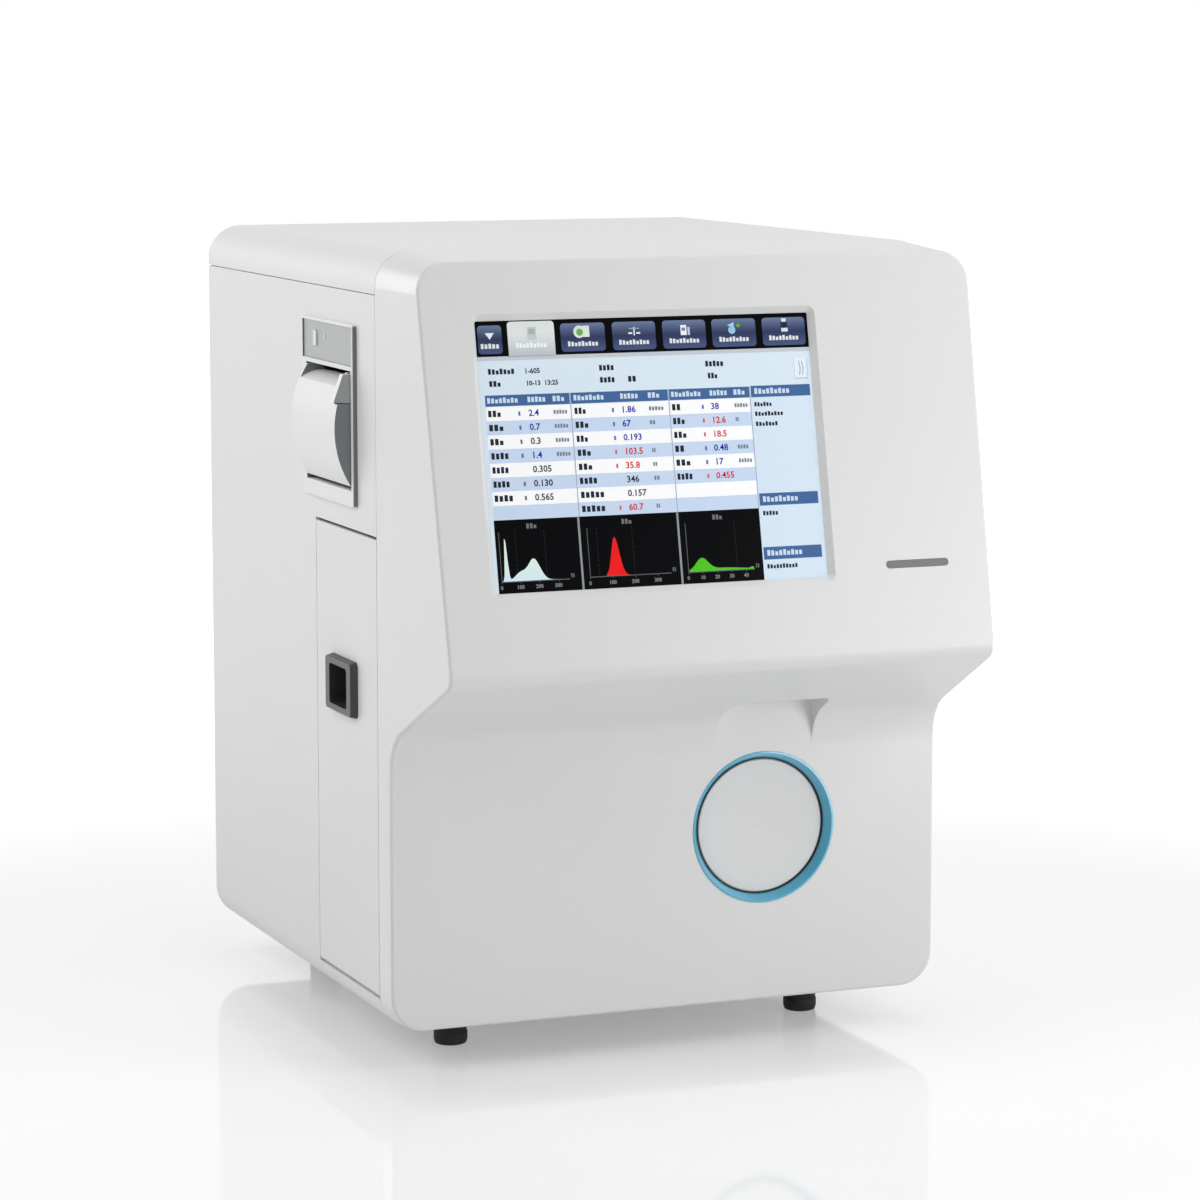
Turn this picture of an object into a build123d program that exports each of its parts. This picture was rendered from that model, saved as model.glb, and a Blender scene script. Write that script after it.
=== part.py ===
from build123d import *
from math import cos, radians, sin, sqrt, tan
import os

os.makedirs("parts", exist_ok=True)

# Overall body, in millimetres. X runs across the front, Y to the rear, Z up
body_width = 292
body_depth = 276
body_top = 398
foot_height = 20
corner_radius = 18
seam_gap = 0.4
flat_gap = 0.3
top_seam_drop = 21
panel_thickness = 2
tray_thickness = 2
tray_flange = 14

# Front cover: a drafted shell cut by one side profile
front_wall = 3
front_draft = 3.4
face_tilt = 12
crease_setback = 48.5
crease_height = 395
underside_slope = 27
underside_point_setback = 62
underside_point_height = 187
chin_radius = 8
root_radius = 25
lower_panel_setback = 15.3
front_edge_radius = 1.6

# Display
screen_width = 170.4
screen_height = 127.8
screen_centre_x = -29.5
screen_centre_height = 305
bezel_chamfer = 3
glass_margin = 4
glass_thickness = 1.8
module_width = 203
module_height = 142.5
module_depth = 8
driver_board_width = 122
driver_board_height = 57
module_boss_size = 9

window_corner_radius = 1
driver_board_thickness = 2.4

# Status light
light_width = 33.6
light_height = 3.8
light_centre_x = 102.5
light_centre_height = 246.3
light_depth = 6
light_flange = 1.5

# Start button
button_centre_x = 51
button_centre_height = 108.5
ring_diameter = 76.5
ring_inner_diameter = 68.7
ring_depth = 4.5
ring_lip = 0.4
ring_flange = 2.5
ring_flange_thickness = 2
button_fit_gap = 0.15
button_diameter = 67.5
button_thickness = 5
button_dish = 1.2
button_edge = 0.6
button_travel = 2.5
button_stem_diameter = 12
stem_clearance = 0.1
guide_wall = 2.5
guide_floor = 3
guide_depth = 16
switch_board_width = 44
switch_board_height = 20
switch_board_thickness = 1.6
switch_size = 12
switch_height = 4.3
post_diameter = 6

# Probe recess under the chin
recess_width = 53
recess_centre_x = 50.5
recess_ceiling_height = 176
recess_corner_radius = 4
probe_setback = 27
probe_slot_width = 13
probe_slot_length = 22

# Probe carriage, lift and rods
probe_diameter = 1.6
probe_tip_height = 187
probe_length = 95
probe_tail = 6
probe_bore = 0.9
rod_diameter = 6
bracket_side_margin = 9
rod_x = 76
rod_low_height = 215
rod_high_height = 247
rod_front_setback = 42
carriage_width = 14
carriage_length = 24
carriage_low = 203
carriage_high = 259
carriage_plate = 3
mast_top = 306
arm_thickness = 4
wash_block_width = 16
wash_block_length = 14
wash_block_height = 11
wash_bore_diameter = 2.2
wash_gap = 2
nozzle_diameter = 4
nozzle_length = 6
lift_rod_diameter = 4
lift_screw_diameter = 5
lift_rod_spacing = 7
holder_height = 12
motor_size = 28
motor_length = 30
rod_clearance = 0.1
bracket_thickness = 3
bracket_gap = 12

# Counting baths under the probe's path
first_bath_y = 40
second_bath_y = 78
bath_diameter = 30
bath_wall = 2.5
bath_drain_wall = 1.5
bath_top = 165
bath_height = 58
bath_drain_diameter = 6
bath_drain_length = 10
bath_rim_drop = 13
bath_margin = 5
bath_flange = 16
bath_bracket_thickness = 4

# Side door on the left side
door_front = 0.6
door_length = 92.4
door_bottom = 35
door_top_drop = 12.5
door_thickness = 3
door_top_gap = 1.6
door_edge_gap = 0.6
door_hinge_inset = 6
door_hinge_rise = 6
door_lug_radius = 4
lug_length = 10
lug_margin = 5
hinge_pin_diameter = 3
hinge_clearance = 0.1
door_rib_height = 4
door_rib_thickness = 1.6

# Finger pull in the door
pull_length = 40.4
pull_height = 28
pull_centre_y = 49.8
pull_centre_height = 182
pull_proud = 3.8
pull_recess_length = 26.5
pull_recess_height = 20
pull_recess_depth = 13
pull_wall = 2
pull_corner_radius = 3

# Reagent bay behind the door, with its bottle
bay_wall = 1.5
bay_span = 86
bay_margin = 2.5
magnet_width = 24
magnet_depth = 10
magnet_height = 7
bottle_diameter = 66
bottle_height = 150
bottle_neck_diameter = 30
bottle_neck_height = 14
bottle_shoulder = 16
bottle_wall = 1.5
cap_diameter = 36
cap_height = 16
cap_rise = 1.5
cap_edge = 1

# Printer on the left side
printer_front = 27.5
printer_rear = 106.4
printer_bottom = 272
printer_top_drop = 16
printer_proud = 2.4
printer_rim = 1.4
collar_wall = 1.2
printer_corner_radius = 2
printer_edge_radius = 0.8
printer_collar_depth = 6
key_panel_bottom = 340.6
key_panel_recess = 0.8
key_panel_thickness = 1.2
housing_wall = 2
housing_depth = 50
cover_rear = 99
cover_bottom = 281.5
cover_top = 337.5
cover_bulge = 8.2
cover_wall = 2.2
cover_gap = 0.5
cover_bottom_gap = 1.4
cover_back = 9
scoop_depth = 3
scoop_middle = 3.9
scoop_reach = 8
scoop_ear = 2
cover_hinge_inset = 3
cover_hinge_rise = 3.5
cover_pin_diameter = 3
trunnion_reach = 0.9
lever_thickness = 4.5
lever_pin_inset = 2.5
lever_pin_height = 333
lever_pin_diameter = 3
lever_bottom = 323
lever_height = 14
lever_proud_top = 3.7
lever_proud_bottom = 8.6
lever_toe = 0.6
platen_diameter = 10
platen_shaft_diameter = 3
platen_inset = 6
platen_height = 320
paper_width = 57
roll_diameter = 38
roll_core_diameter = 12
print_head_depth = 8
print_head_height = 8
head_gap = 0.4
feed_key_width = 5
feed_key_height = 8
feed_key_y = 86
feed_key_z = 351
feed_key_travel = 0.6
feed_key_radius = 1
feed_key_proud = 0.8
led_diameter = 2.6
led_proud = 0.3
led_length = 5
led_fit_gap = 0.05
led_y = 71.4
led_z = 352.5

# Rear panel and what it carries
rear_panel_thickness = 2
fan_size = 80
fan_depth = 25
fan_bore = 76
fan_hub_diameter = 32
fan_blade_count = 7
fan_tip_gap = 1.2
fan_blade_pitch = 38
fan_screw_spacing = 71.5
fan_screw_diameter = 4
fan_centre_x = -70
fan_centre_height = 300
grille_slot = 4.5
grille_bar = 2.5
grille_columns = 4
fan_blade_thickness = 1.6
fan_blade_chord = 20
fan_blade_overlap = 1.5
fan_hub_gap = 0.6
fan_shaft_diameter = 3
inlet_width = 58
inlet_height = 27
inlet_flange = 3
inlet_edge_margin = 62
inlet_centre_height = 72
socket_width = 24.5
socket_height = 17
socket_depth = 16
inlet_depth = 22
inlet_pin_width = 2
inlet_pin_height = 4
inlet_pin_low = 1.5
inlet_pin_high = 2.5
inlet_pin_floor = 3
rocker_side_gap = 0.4
rocker_end_gap = 1.2
port_fit_gap = 0.2
inlet_pin_pitch = 7
rocker_width = 11
rocker_height = 19
rocker_thickness = 6
rocker_proud = 3
rocker_tilt = 7
rocker_axle_diameter = 2.5
rocker_dip = 1.2
rocker_axle_depth = 3.2
axle_stub = 1.5
fluid_port_diameter = 6
fluid_port_bore = 3
fluid_port_length = 14
fluid_port_base = 12
fluid_port_base_length = 4
fluid_port_pitch = 24
fluid_port_count = 4
fluid_port_height = 62
fluid_port_edge_margin = 34
fluid_port_thread = 8
fluid_port_inner = 12
data_port_height = 205
usb_width = 13.1
usb_slot_height = 5.4
usb_shell_height = 16
usb_shell_width = 14.6
usb_depth = 17
port_back_wall = 2
usb_pitch = 24
usb_count = 2
network_width = 16
network_height = 13.5
network_slot_width = 11.8
network_slot_height = 8.2
screw_head_diameter = 6
screw_head_height = 2
screw_edge_inset = 4
screw_edge_radius = 0.8

# Inner frame, boards and fluid parts
bulkhead_y = 108
bulkhead_thickness = 1.6
bulkhead_window_width = 60
bulkhead_window_height = 30
bulkhead_window_drop = 75
bulkhead_window_radius = 4
supply_width = 98
supply_length = 130
supply_height = 40
supply_edge_margin = 76
supply_y = 183
supply_slot_count = 7
supply_slot_pitch = 10
supply_slot_length = 78
supply_slot_depth = 1
chip_height = 3
chip_size = 32
chip_offset = 20
chip_low = 30
chip_high = 40
connector_width = 8
connector_height = 90
connector_offset = 60
board_hole_margin = 7
standoff_radius = 3
board_thickness = 1.6
board_standoff = 12
board_length = 150
board_height = 170
board_bottom = 130
syringe_edge_margin = 28
syringe_y = 82
syringe_bore = 12
syringe_wall = 2
syringe_flange = 2
syringe_flange_height = 3
syringe_nozzle_radius = 3
syringe_nozzle_length = 10
syringe_nozzle_bore = 1
syringe_shoulder = 4
syringe_low = 205
syringe_length = 60
syringe_travel = 30
plunger_rod_diameter = 8
plunger_clearance = 0.1
piston_length = 10
motor_drop = 5
syringe_motor_size = 35
syringe_motor_length = 34
manifold_width = 80
manifold_height = 24
manifold_depth = 14
manifold_x = -18
manifold_z = 215
valve_diameter = 16
valve_length = 30
valve_count = 4
pump_diameter = 38
pump_length = 62
pump_head = 14
pump_head_depth = 30
pump_x = -25
pump_y = 60
chamber_diameter = 56
chamber_height = 80
chamber_shoulder = 5
nozzle_pitch = 22
chamber_edge_margin = 54
chamber_y = 46

# Feet
foot_diameter = 17
foot_taper = 1.5
foot_edge_margin = 50
foot_front_y = 38
foot_rear_margin = 38

# Where the frame's origin lies against the body: under the middle of the whole box
chin_reach = 88.4
left_reach = printer_proud + cover_bulge
rear_reach = fluid_port_base_length + fluid_port_length
mid_x = left_reach / 2
seam_y = (chin_reach - body_depth - rear_reach) / 2
half_width = body_width / 2
body_height = body_top - foot_height
inner_x = half_width - panel_thickness
top_seam_height = body_top - top_seam_drop
printer_top = top_seam_height - printer_top_drop
door_top = printer_bottom - door_top_drop
bay_inner_x = -half_width + bay_span
inlet_centre_x = half_width - inlet_edge_margin
fluid_port_start_x = -half_width + fluid_port_edge_margin
supply_x = half_width - supply_edge_margin
syringe_x = half_width - syringe_edge_margin
chamber_x = half_width - chamber_edge_margin
foot_x = half_width - foot_edge_margin


def front_plane(setback=0):
    """Faces the front: local x is X, local y is height, extrude goes forward."""
    origin = (mid_x, seam_y - setback, 0)
    return Plane(origin=origin, x_dir=(1, 0, 0), z_dir=(0, -1, 0))


def rear_plane(depth=0):
    """Faces the rear: local x is minus X, local y is height, extrude goes to the rear."""
    origin = (mid_x, seam_y + depth, 0)
    return Plane(origin=origin, x_dir=(-1, 0, 0), z_dir=(0, 1, 0))


def side_plane(x):
    """Lies along the side: local x is depth behind the seam, local y is height."""
    origin = (mid_x + x, seam_y, 0)
    return Plane(origin=origin, x_dir=(0, 1, 0), z_dir=(1, 0, 0))


def level(height):
    """Level plane at a height: local x and y are X and depth behind the seam."""
    return Plane(origin=(mid_x, seam_y, height), x_dir=(1, 0, 0), z_dir=(0, 0, 1))


def face_plane(x, height):
    """Tilted plane of the display face, facing out, centred at a point on it."""
    setback = crease_setback + (crease_height - height) * tan(radians(face_tilt))
    normal = (0, -cos(radians(face_tilt)), sin(radians(face_tilt)))
    return Plane(origin=(mid_x + x, seam_y - setback, height), x_dir=(1, 0, 0), z_dir=normal)


def finish(builder, name):
    """Labels a finished piece and writes its STEP file."""
    builder.part.label = name
    export_step(builder.part, f"parts/{name}.step")


# Panels round the body


def panel_band(name, low, high, left, right, cuts=()):
    """One band of the body's rounded sleeve, between two heights and two X limits."""
    with BuildPart() as band:
        with BuildSketch(rear_plane(seam_gap)):
            with Locations((0, foot_height + body_height / 2)):
                RectangleRounded(body_width, body_height, corner_radius)
                RectangleRounded(
                    body_width - 2 * panel_thickness,
                    body_height - 2 * panel_thickness,
                    corner_radius - panel_thickness,
                    mode=Mode.SUBTRACT,
                )
            with Locations(((-(left + right) / 2), (low + high) / 2)):
                Rectangle(right - left, high - low, mode=Mode.INTERSECT)
        extrude(amount=body_depth - seam_gap)
        for centre_y, centre_z, length, height in cuts:
            with BuildSketch(side_plane(left)):
                with Locations((centre_y, centre_z)):
                    Rectangle(length, height)
            extrude(amount=half_width / 2, both=True, mode=Mode.SUBTRACT)
    finish(band, name)
    return band


side_edge_x = half_width - corner_radius
door_rear = door_front + door_length
door_hole = (
    (door_rear + door_edge_gap) / 2,
    (door_bottom - door_edge_gap + door_top + door_top_gap) / 2,
    door_rear + door_edge_gap,
    door_top + door_top_gap - door_bottom + door_edge_gap,
)
printer_hole = (
    (printer_front + printer_rear) / 2,
    (printer_bottom + printer_top) / 2,
    printer_rear - printer_front - 2 * printer_rim + 2 * flat_gap,
    printer_top - printer_bottom - 2 * printer_rim + 2 * flat_gap,
)

panel_band("top_cover", top_seam_height + seam_gap / 2, body_top, -half_width, half_width)
panel_band(
    "left_side_panel",
    foot_height,
    top_seam_height - seam_gap / 2,
    -half_width,
    -side_edge_x,
    (door_hole, printer_hole),
)
panel_band(
    "right_side_panel",
    foot_height,
    top_seam_height - seam_gap / 2,
    side_edge_x,
    half_width,
)

# Base tray: a folded sheet pan that closes the bottom between the side panels
tray_width = 2 * side_edge_x - 2 * seam_gap
tray_length = body_depth - rear_panel_thickness - seam_gap - flat_gap
with BuildPart() as base_tray:
    with BuildSketch(rear_plane(seam_gap)):
        with Locations((0, foot_height + tray_flange / 2)):
            Rectangle(tray_width, tray_flange)
        with Locations((0, foot_height + tray_thickness + tray_flange / 2)):
            Rectangle(tray_width - 2 * tray_thickness, tray_flange, mode=Mode.SUBTRACT)
    extrude(amount=tray_length)
finish(base_tray, "base_tray")
tray_floor = foot_height + tray_thickness

# Feet
foot_rear_y = body_depth - foot_rear_margin
foot_places = {
    "foot_front_left": (-foot_x, foot_front_y),
    "foot_front_right": (foot_x, foot_front_y),
    "foot_rear_left": (-foot_x, foot_rear_y),
    "foot_rear_right": (foot_x, foot_rear_y),
}
for foot_name, foot_place in foot_places.items():
    with BuildPart() as foot:
        with BuildSketch(level(foot_height)):
            with Locations(foot_place):
                Circle(foot_diameter / 2)
        extrude(amount=-foot_height, taper=foot_taper)
        fillet(foot.edges().group_by(Axis.Z)[0], foot_taper)
    finish(foot, foot_name)


# Front cover


def chin_corner():
    """Depth and height where the tilted face meets the chin's underside."""
    slope = tan(radians(underside_slope))
    tilt = tan(radians(face_tilt))
    along_face = crease_height * tilt + crease_setback
    height = (along_face - underside_point_setback + underside_point_height / slope) / (
        tilt + 1 / slope
    )
    return -crease_setback - (crease_height - height) * tilt, height


def root_height():
    """Height where the chin's underside meets the lower panel."""
    slope = tan(radians(underside_slope))
    return underside_point_height - (underside_point_setback - lower_panel_setback) * slope


def cover_block(inset):
    """The front cover's outer form, or its hollow when moved inward by an inset."""
    chin_y, chin_z = chin_corner()
    over_top = body_top + corner_radius
    top_y = -crease_setback + (over_top - crease_height) * tan(radians(face_tilt))
    under = foot_height - corner_radius
    with BuildPart() as block:
        with BuildSketch(front_plane(0)):
            with Locations((0, foot_height + body_height / 2)):
                RectangleRounded(
                    body_width - 2 * inset, body_height - 2 * inset, corner_radius - inset
                )
        extrude(amount=chin_reach + corner_radius, taper=front_draft)
        with BuildSketch(side_plane(0)) as profile:
            with BuildLine():
                FilletPolyline(
                    (top_y, over_top),
                    (chin_y, chin_z),
                    (-lower_panel_setback, root_height()),
                    (-lower_panel_setback, under),
                    radius=(chin_radius, root_radius),
                )
                Polyline(
                    (-lower_panel_setback, under),
                    (inset + seam_gap, under),
                    (inset + seam_gap, over_top),
                    (top_y, over_top),
                )
            make_face()
            if inset:
                offset(amount=-inset, kind=Kind.INTERSECTION)
        extrude(amount=half_width, both=True, mode=Mode.INTERSECT)
    return block.part


def is_front_crease(edge):
    """Picks the edges round the front of the cover, not those at the seam."""
    return edge.bounding_box().max.Y < seam_y - 1 or edge.center().Y < seam_y - lower_panel_setback


face = face_plane(screen_centre_x, screen_centre_height)
face_inward = Plane(origin=face.origin, x_dir=face.x_dir, z_dir=-face.z_dir)
light_face = face_plane(light_centre_x, light_centre_height)
button_plane = front_plane(lower_panel_setback)
recess_bottom = root_height() - root_radius
recess_tall = recess_ceiling_height - recess_bottom
recess_reach = underside_point_setback
module_ear_x = module_width / 2 - module_boss_size / 2 - 1
module_ear_y = module_height / 2 - module_boss_size / 2 - 1

with BuildPart() as recess_walls:
    with BuildSketch(front_plane(lower_panel_setback - front_wall)):
        with Locations((recess_centre_x, recess_bottom + recess_tall / 2 + front_wall / 2)):
            RectangleRounded(
                recess_width + 2 * front_wall,
                recess_tall + front_wall,
                recess_corner_radius,
            )
    extrude(amount=recess_reach)
    add(cover_block(0), mode=Mode.INTERSECT)

with BuildPart() as front_cover:
    add(cover_block(0))
    fillet(front_cover.edges().filter_by(is_front_crease), front_edge_radius)
    add(cover_block(front_wall), mode=Mode.SUBTRACT)
    add(recess_walls.part)
    # Probe recess under the chin, with a slot in its ceiling for the probe
    with BuildSketch(front_plane(lower_panel_setback)):
        with Locations((recess_centre_x, recess_bottom)):
            RectangleRounded(recess_width, 2 * recess_tall, recess_corner_radius)
    extrude(amount=recess_reach, mode=Mode.SUBTRACT)
    with BuildSketch(level(recess_ceiling_height)):
        with Locations((recess_centre_x, -probe_setback)):
            SlotOverall(probe_slot_length, probe_slot_width, rotation=90)
    extrude(amount=2 * front_wall, both=True, mode=Mode.SUBTRACT)
    # Display window with its dished rim
    with BuildSketch(face_inward):
        RectangleRounded(
            screen_width + 2 * bezel_chamfer,
            screen_height + 2 * bezel_chamfer,
            bezel_chamfer + window_corner_radius,
        )
    extrude(amount=front_wall, taper=45, mode=Mode.SUBTRACT)
    with BuildSketch(face_inward):
        RectangleRounded(screen_width, screen_height, window_corner_radius)
    extrude(amount=2 * front_wall, mode=Mode.SUBTRACT)
    # Bosses that carry the display module behind the wall
    with BuildSketch(face.offset(-front_wall + flat_gap)):
        with GridLocations(2 * module_ear_x, 2 * module_ear_y, 2, 2):
            Circle(module_boss_size / 2)
    extrude(amount=-glass_thickness - 2 * flat_gap)
    # Slot for the status light
    with BuildSketch(light_face.offset(front_wall)):
        SlotOverall(light_width, light_height)
    extrude(amount=-3 * front_wall, mode=Mode.SUBTRACT)
    # Hole for the start button's ring
    with BuildSketch(button_plane):
        with Locations((button_centre_x, button_centre_height)):
            Circle(ring_diameter / 2 + button_fit_gap)
    extrude(amount=-2 * front_wall, mode=Mode.SUBTRACT)
finish(front_cover, "front_cover")

# Display behind the window
with BuildPart() as touch_glass:
    with BuildSketch(face.offset(-front_wall)):
        Rectangle(screen_width + 2 * glass_margin, screen_height + 2 * glass_margin)
    extrude(amount=-glass_thickness)
finish(touch_glass, "touch_glass")

with BuildPart() as lcd_module:
    with BuildSketch(face.offset(-front_wall - glass_thickness - flat_gap)):
        Rectangle(module_width, module_height)
    extrude(amount=-module_depth)
    fillet(lcd_module.edges().filter_by(lambda edge: edge.length < module_depth + 1), 2)
    with BuildSketch(face.offset(-front_wall - glass_thickness - flat_gap - module_depth)):
        with Locations((0, -module_height / 6)):
            Rectangle(driver_board_width, driver_board_height)
    extrude(amount=-driver_board_thickness)
finish(lcd_module, "lcd_module")

# Status light
with BuildPart() as light_lens:
    with BuildSketch(light_face):
        SlotOverall(light_width - 2 * button_fit_gap, light_height - 2 * button_fit_gap)
    extrude(amount=-front_wall)
    with BuildSketch(light_face.offset(-front_wall)):
        SlotOverall(light_width + 2 * light_flange, light_height + 2 * light_flange)
    extrude(amount=-light_flange)
    with BuildSketch(light_face.offset(-front_wall - light_flange)):
        SlotOverall(light_width, light_height)
    extrude(amount=-light_depth)
finish(light_lens, "light_lens")


def turned(points, plane):
    """Revolves a section, given as radius and distance out of a plane, about its normal."""
    section_plane = Plane(
        origin=plane.origin, x_dir=plane.x_dir, z_dir=plane.x_dir.cross(plane.z_dir)
    )
    with BuildPart() as body:
        with BuildSketch(section_plane):
            with BuildLine():
                Polyline(*points, close=True)
            make_face()
        revolve(axis=Axis(plane.origin, plane.z_dir))
    return body.part


def spot(plane, x, y, out=0):
    """The same plane with its origin moved to a local point."""
    return Plane(
        origin=plane.from_local_coords((x, y, out)), x_dir=plane.x_dir, z_dir=plane.z_dir
    )


# Start button: a dished ring, a sprung disc and the switch behind it
button_face = spot(button_plane, button_centre_x, button_centre_height)
ring_radius = ring_diameter / 2
ring_bore = ring_inner_diameter / 2
ring_back = front_wall + ring_flange_thickness
guide_front = -ring_back
guide_back = guide_front - guide_depth
button_front = -ring_depth
stem_end = guide_back - button_travel - flat_gap
post_length = switch_height + 2 * button_travel + 2 * flat_gap
board_front = guide_back - post_length

with BuildPart() as button_ring:
    add(
        turned(
            (
                (ring_bore, -ring_back),
                (ring_bore, -ring_depth),
                (ring_radius - 1, ring_lip),
                (ring_radius, ring_lip / 2),
                (ring_radius, -front_wall - flat_gap / 2),
                (ring_radius + ring_flange, -front_wall - flat_gap / 2),
                (ring_radius + ring_flange, -ring_back),
            ),
            button_face,
        )
    )
finish(button_ring, "button_ring")

with BuildPart() as button_guide:
    with BuildSketch(button_face.offset(guide_front)):
        Circle(ring_bore + guide_wall)
    extrude(amount=-guide_depth)
    with BuildSketch(button_face.offset(guide_front)):
        Circle(ring_bore)
    extrude(amount=-guide_depth + guide_floor, mode=Mode.SUBTRACT)
    with BuildSketch(button_face.offset(guide_back)):
        Circle(button_stem_diameter / 2 + stem_clearance)
    extrude(amount=guide_floor, mode=Mode.SUBTRACT)
    with BuildSketch(button_face.offset(guide_back)):
        with GridLocations(switch_board_width - post_diameter, 1, 2, 1):
            Circle(post_diameter / 2)
    extrude(amount=-post_length)
finish(button_guide, "button_guide")

with BuildPart() as start_button:
    add(
        turned(
            (
                (0, button_front - button_dish),
                (button_diameter / 2 - 3, button_front),
                (button_diameter / 2 - button_edge, button_front),
                (button_diameter / 2, button_front - button_edge),
                (button_diameter / 2, button_front - button_thickness),
                (button_stem_diameter / 2, button_front - button_thickness),
                (button_stem_diameter / 2, stem_end),
                (0, stem_end),
            ),
            button_face,
        )
    )
finish(start_button, "start_button")

with BuildPart() as button_board:
    with BuildSketch(button_face.offset(board_front)):
        Rectangle(switch_board_width, switch_board_height)
    extrude(amount=-switch_board_thickness)
    with BuildSketch(button_face.offset(board_front)):
        Rectangle(switch_size, switch_size)
    extrude(amount=switch_height)
finish(button_board, "button_board")

# Reagent bay behind the side door: a folded box, open to the left
bay_mouth = half_width - door_thickness - flat_gap
bay_front = seam_gap + flat_gap
bay_rear = door_rear + bay_margin + bay_wall
bay_floor = door_bottom + bay_wall
bay_roof = door_top + bay_margin + bay_wall
hinge_x = -half_width + door_hinge_inset
hinge_z = door_bottom + door_hinge_rise
lug_radius = door_lug_radius
lug_y = (door_front + lug_margin, door_rear - lug_margin - lug_length)
sill_x = hinge_x + door_hinge_rise + 2 * flat_gap
hinge_boss_radius = door_hinge_inset - door_thickness - flat_gap

with BuildPart() as reagent_bay:
    with BuildSketch(side_plane(-bay_mouth)):
        with Locations(((bay_front + bay_rear) / 2, (door_bottom + bay_roof) / 2)):
            Rectangle(bay_rear - bay_front, bay_roof - door_bottom)
    extrude(amount=bay_mouth + bay_inner_x)
    with BuildSketch(side_plane(-bay_mouth)):
        with Locations(((bay_front + bay_rear) / 2, (bay_floor + bay_roof - bay_wall) / 2)):
            Rectangle(bay_rear - bay_front - 2 * bay_wall, bay_roof - bay_floor - bay_wall)
    extrude(amount=bay_mouth + bay_inner_x - bay_wall, mode=Mode.SUBTRACT)
    # The floor starts behind the hinge, and the two walls take the hinge pins
    with BuildSketch(side_plane(-bay_mouth)):
        with Locations(((bay_front + bay_rear) / 2, door_bottom)):
            Rectangle(bay_rear - bay_front - 2 * bay_wall, 4 * bay_wall)
    extrude(amount=sill_x + bay_mouth, mode=Mode.SUBTRACT)
    # The door's lower edge swings in under the hinge, so each wall keeps a round boss there
    with BuildSketch(front_plane(-bay_front)):
        with Locations(((sill_x - bay_mouth) / 2, (door_bottom + hinge_z) / 2)):
            Rectangle(sill_x + bay_mouth, hinge_z - door_bottom)
    extrude(amount=-(bay_rear - bay_front), mode=Mode.SUBTRACT)
    for wall_start in (bay_front, bay_rear - bay_wall):
        with BuildSketch(front_plane(-wall_start)):
            with Locations((hinge_x, hinge_z)):
                Circle(hinge_boss_radius)
            with Locations(((hinge_x + sill_x) / 2, hinge_z - hinge_boss_radius / 2)):
                Rectangle(sill_x - hinge_x, hinge_boss_radius)
        extrude(amount=-bay_wall)
    with BuildSketch(front_plane(-bay_front)):
        with Locations((hinge_x, hinge_z)):
            Circle(hinge_pin_diameter / 2 + hinge_clearance)
    extrude(amount=-(bay_rear - bay_front), mode=Mode.SUBTRACT)
finish(reagent_bay, "reagent_bay")

# Side door: a ribbed panel hinged along its bottom edge
door_outer = side_plane(-half_width)
rim_length = door_length - 4 * bay_wall
rim_low = hinge_z + 2 * lug_radius
rim_high = door_top - 2 * bay_wall
magnet_x = -half_width + door_thickness + door_rib_height + magnet_depth / 2 + flat_gap
with BuildPart() as side_door:
    with BuildSketch(door_outer):
        with Locations(((door_front + door_rear) / 2, (door_bottom + door_top) / 2)):
            Rectangle(door_length, door_top - door_bottom)
    extrude(amount=door_thickness)
    fillet(
        side_door.edges().filter_by(Axis.Y).group_by(Axis.X)[0].sort_by(Axis.Z)[0],
        door_thickness - flat_gap,
    )
    # Stiffening rim on the inside
    with BuildSketch(side_plane(-half_width + door_thickness)):
        with Locations(((door_front + door_rear) / 2, (rim_low + rim_high) / 2)):
            Rectangle(rim_length, rim_high - rim_low)
            Rectangle(
                rim_length - 2 * door_rib_thickness,
                rim_high - rim_low - 2 * door_rib_thickness,
                mode=Mode.SUBTRACT,
            )
    extrude(amount=door_rib_height)
    for lug_start in lug_y:
        with BuildSketch(front_plane(-lug_start)):
            with Locations((hinge_x, hinge_z)):
                Circle(lug_radius)
            with Locations((hinge_x - lug_radius / 2, hinge_z + lug_radius)):
                Rectangle(lug_radius, 2 * lug_radius)
        extrude(amount=-lug_length)
    # Hinge pins, from each lug out through the bay's wall
    with BuildSketch(front_plane(-bay_front)):
        with Locations((hinge_x, hinge_z)):
            Circle(hinge_pin_diameter / 2)
    extrude(amount=-(lug_y[0] + lug_length - bay_front))
    with BuildSketch(front_plane(-lug_y[1])):
        with Locations((hinge_x, hinge_z)):
            Circle(hinge_pin_diameter / 2)
    extrude(amount=-(bay_rear - lug_y[1]))
    # Hole for the finger pull
    with BuildSketch(door_outer):
        with Locations((pull_centre_y, pull_centre_height)):
            RectangleRounded(
                pull_recess_length + 2 * pull_wall + 2 * flat_gap,
                pull_recess_height + 2 * pull_wall + 2 * flat_gap,
                pull_corner_radius,
            )
    extrude(amount=door_thickness, mode=Mode.SUBTRACT)
finish(side_door, "side_door")

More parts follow.
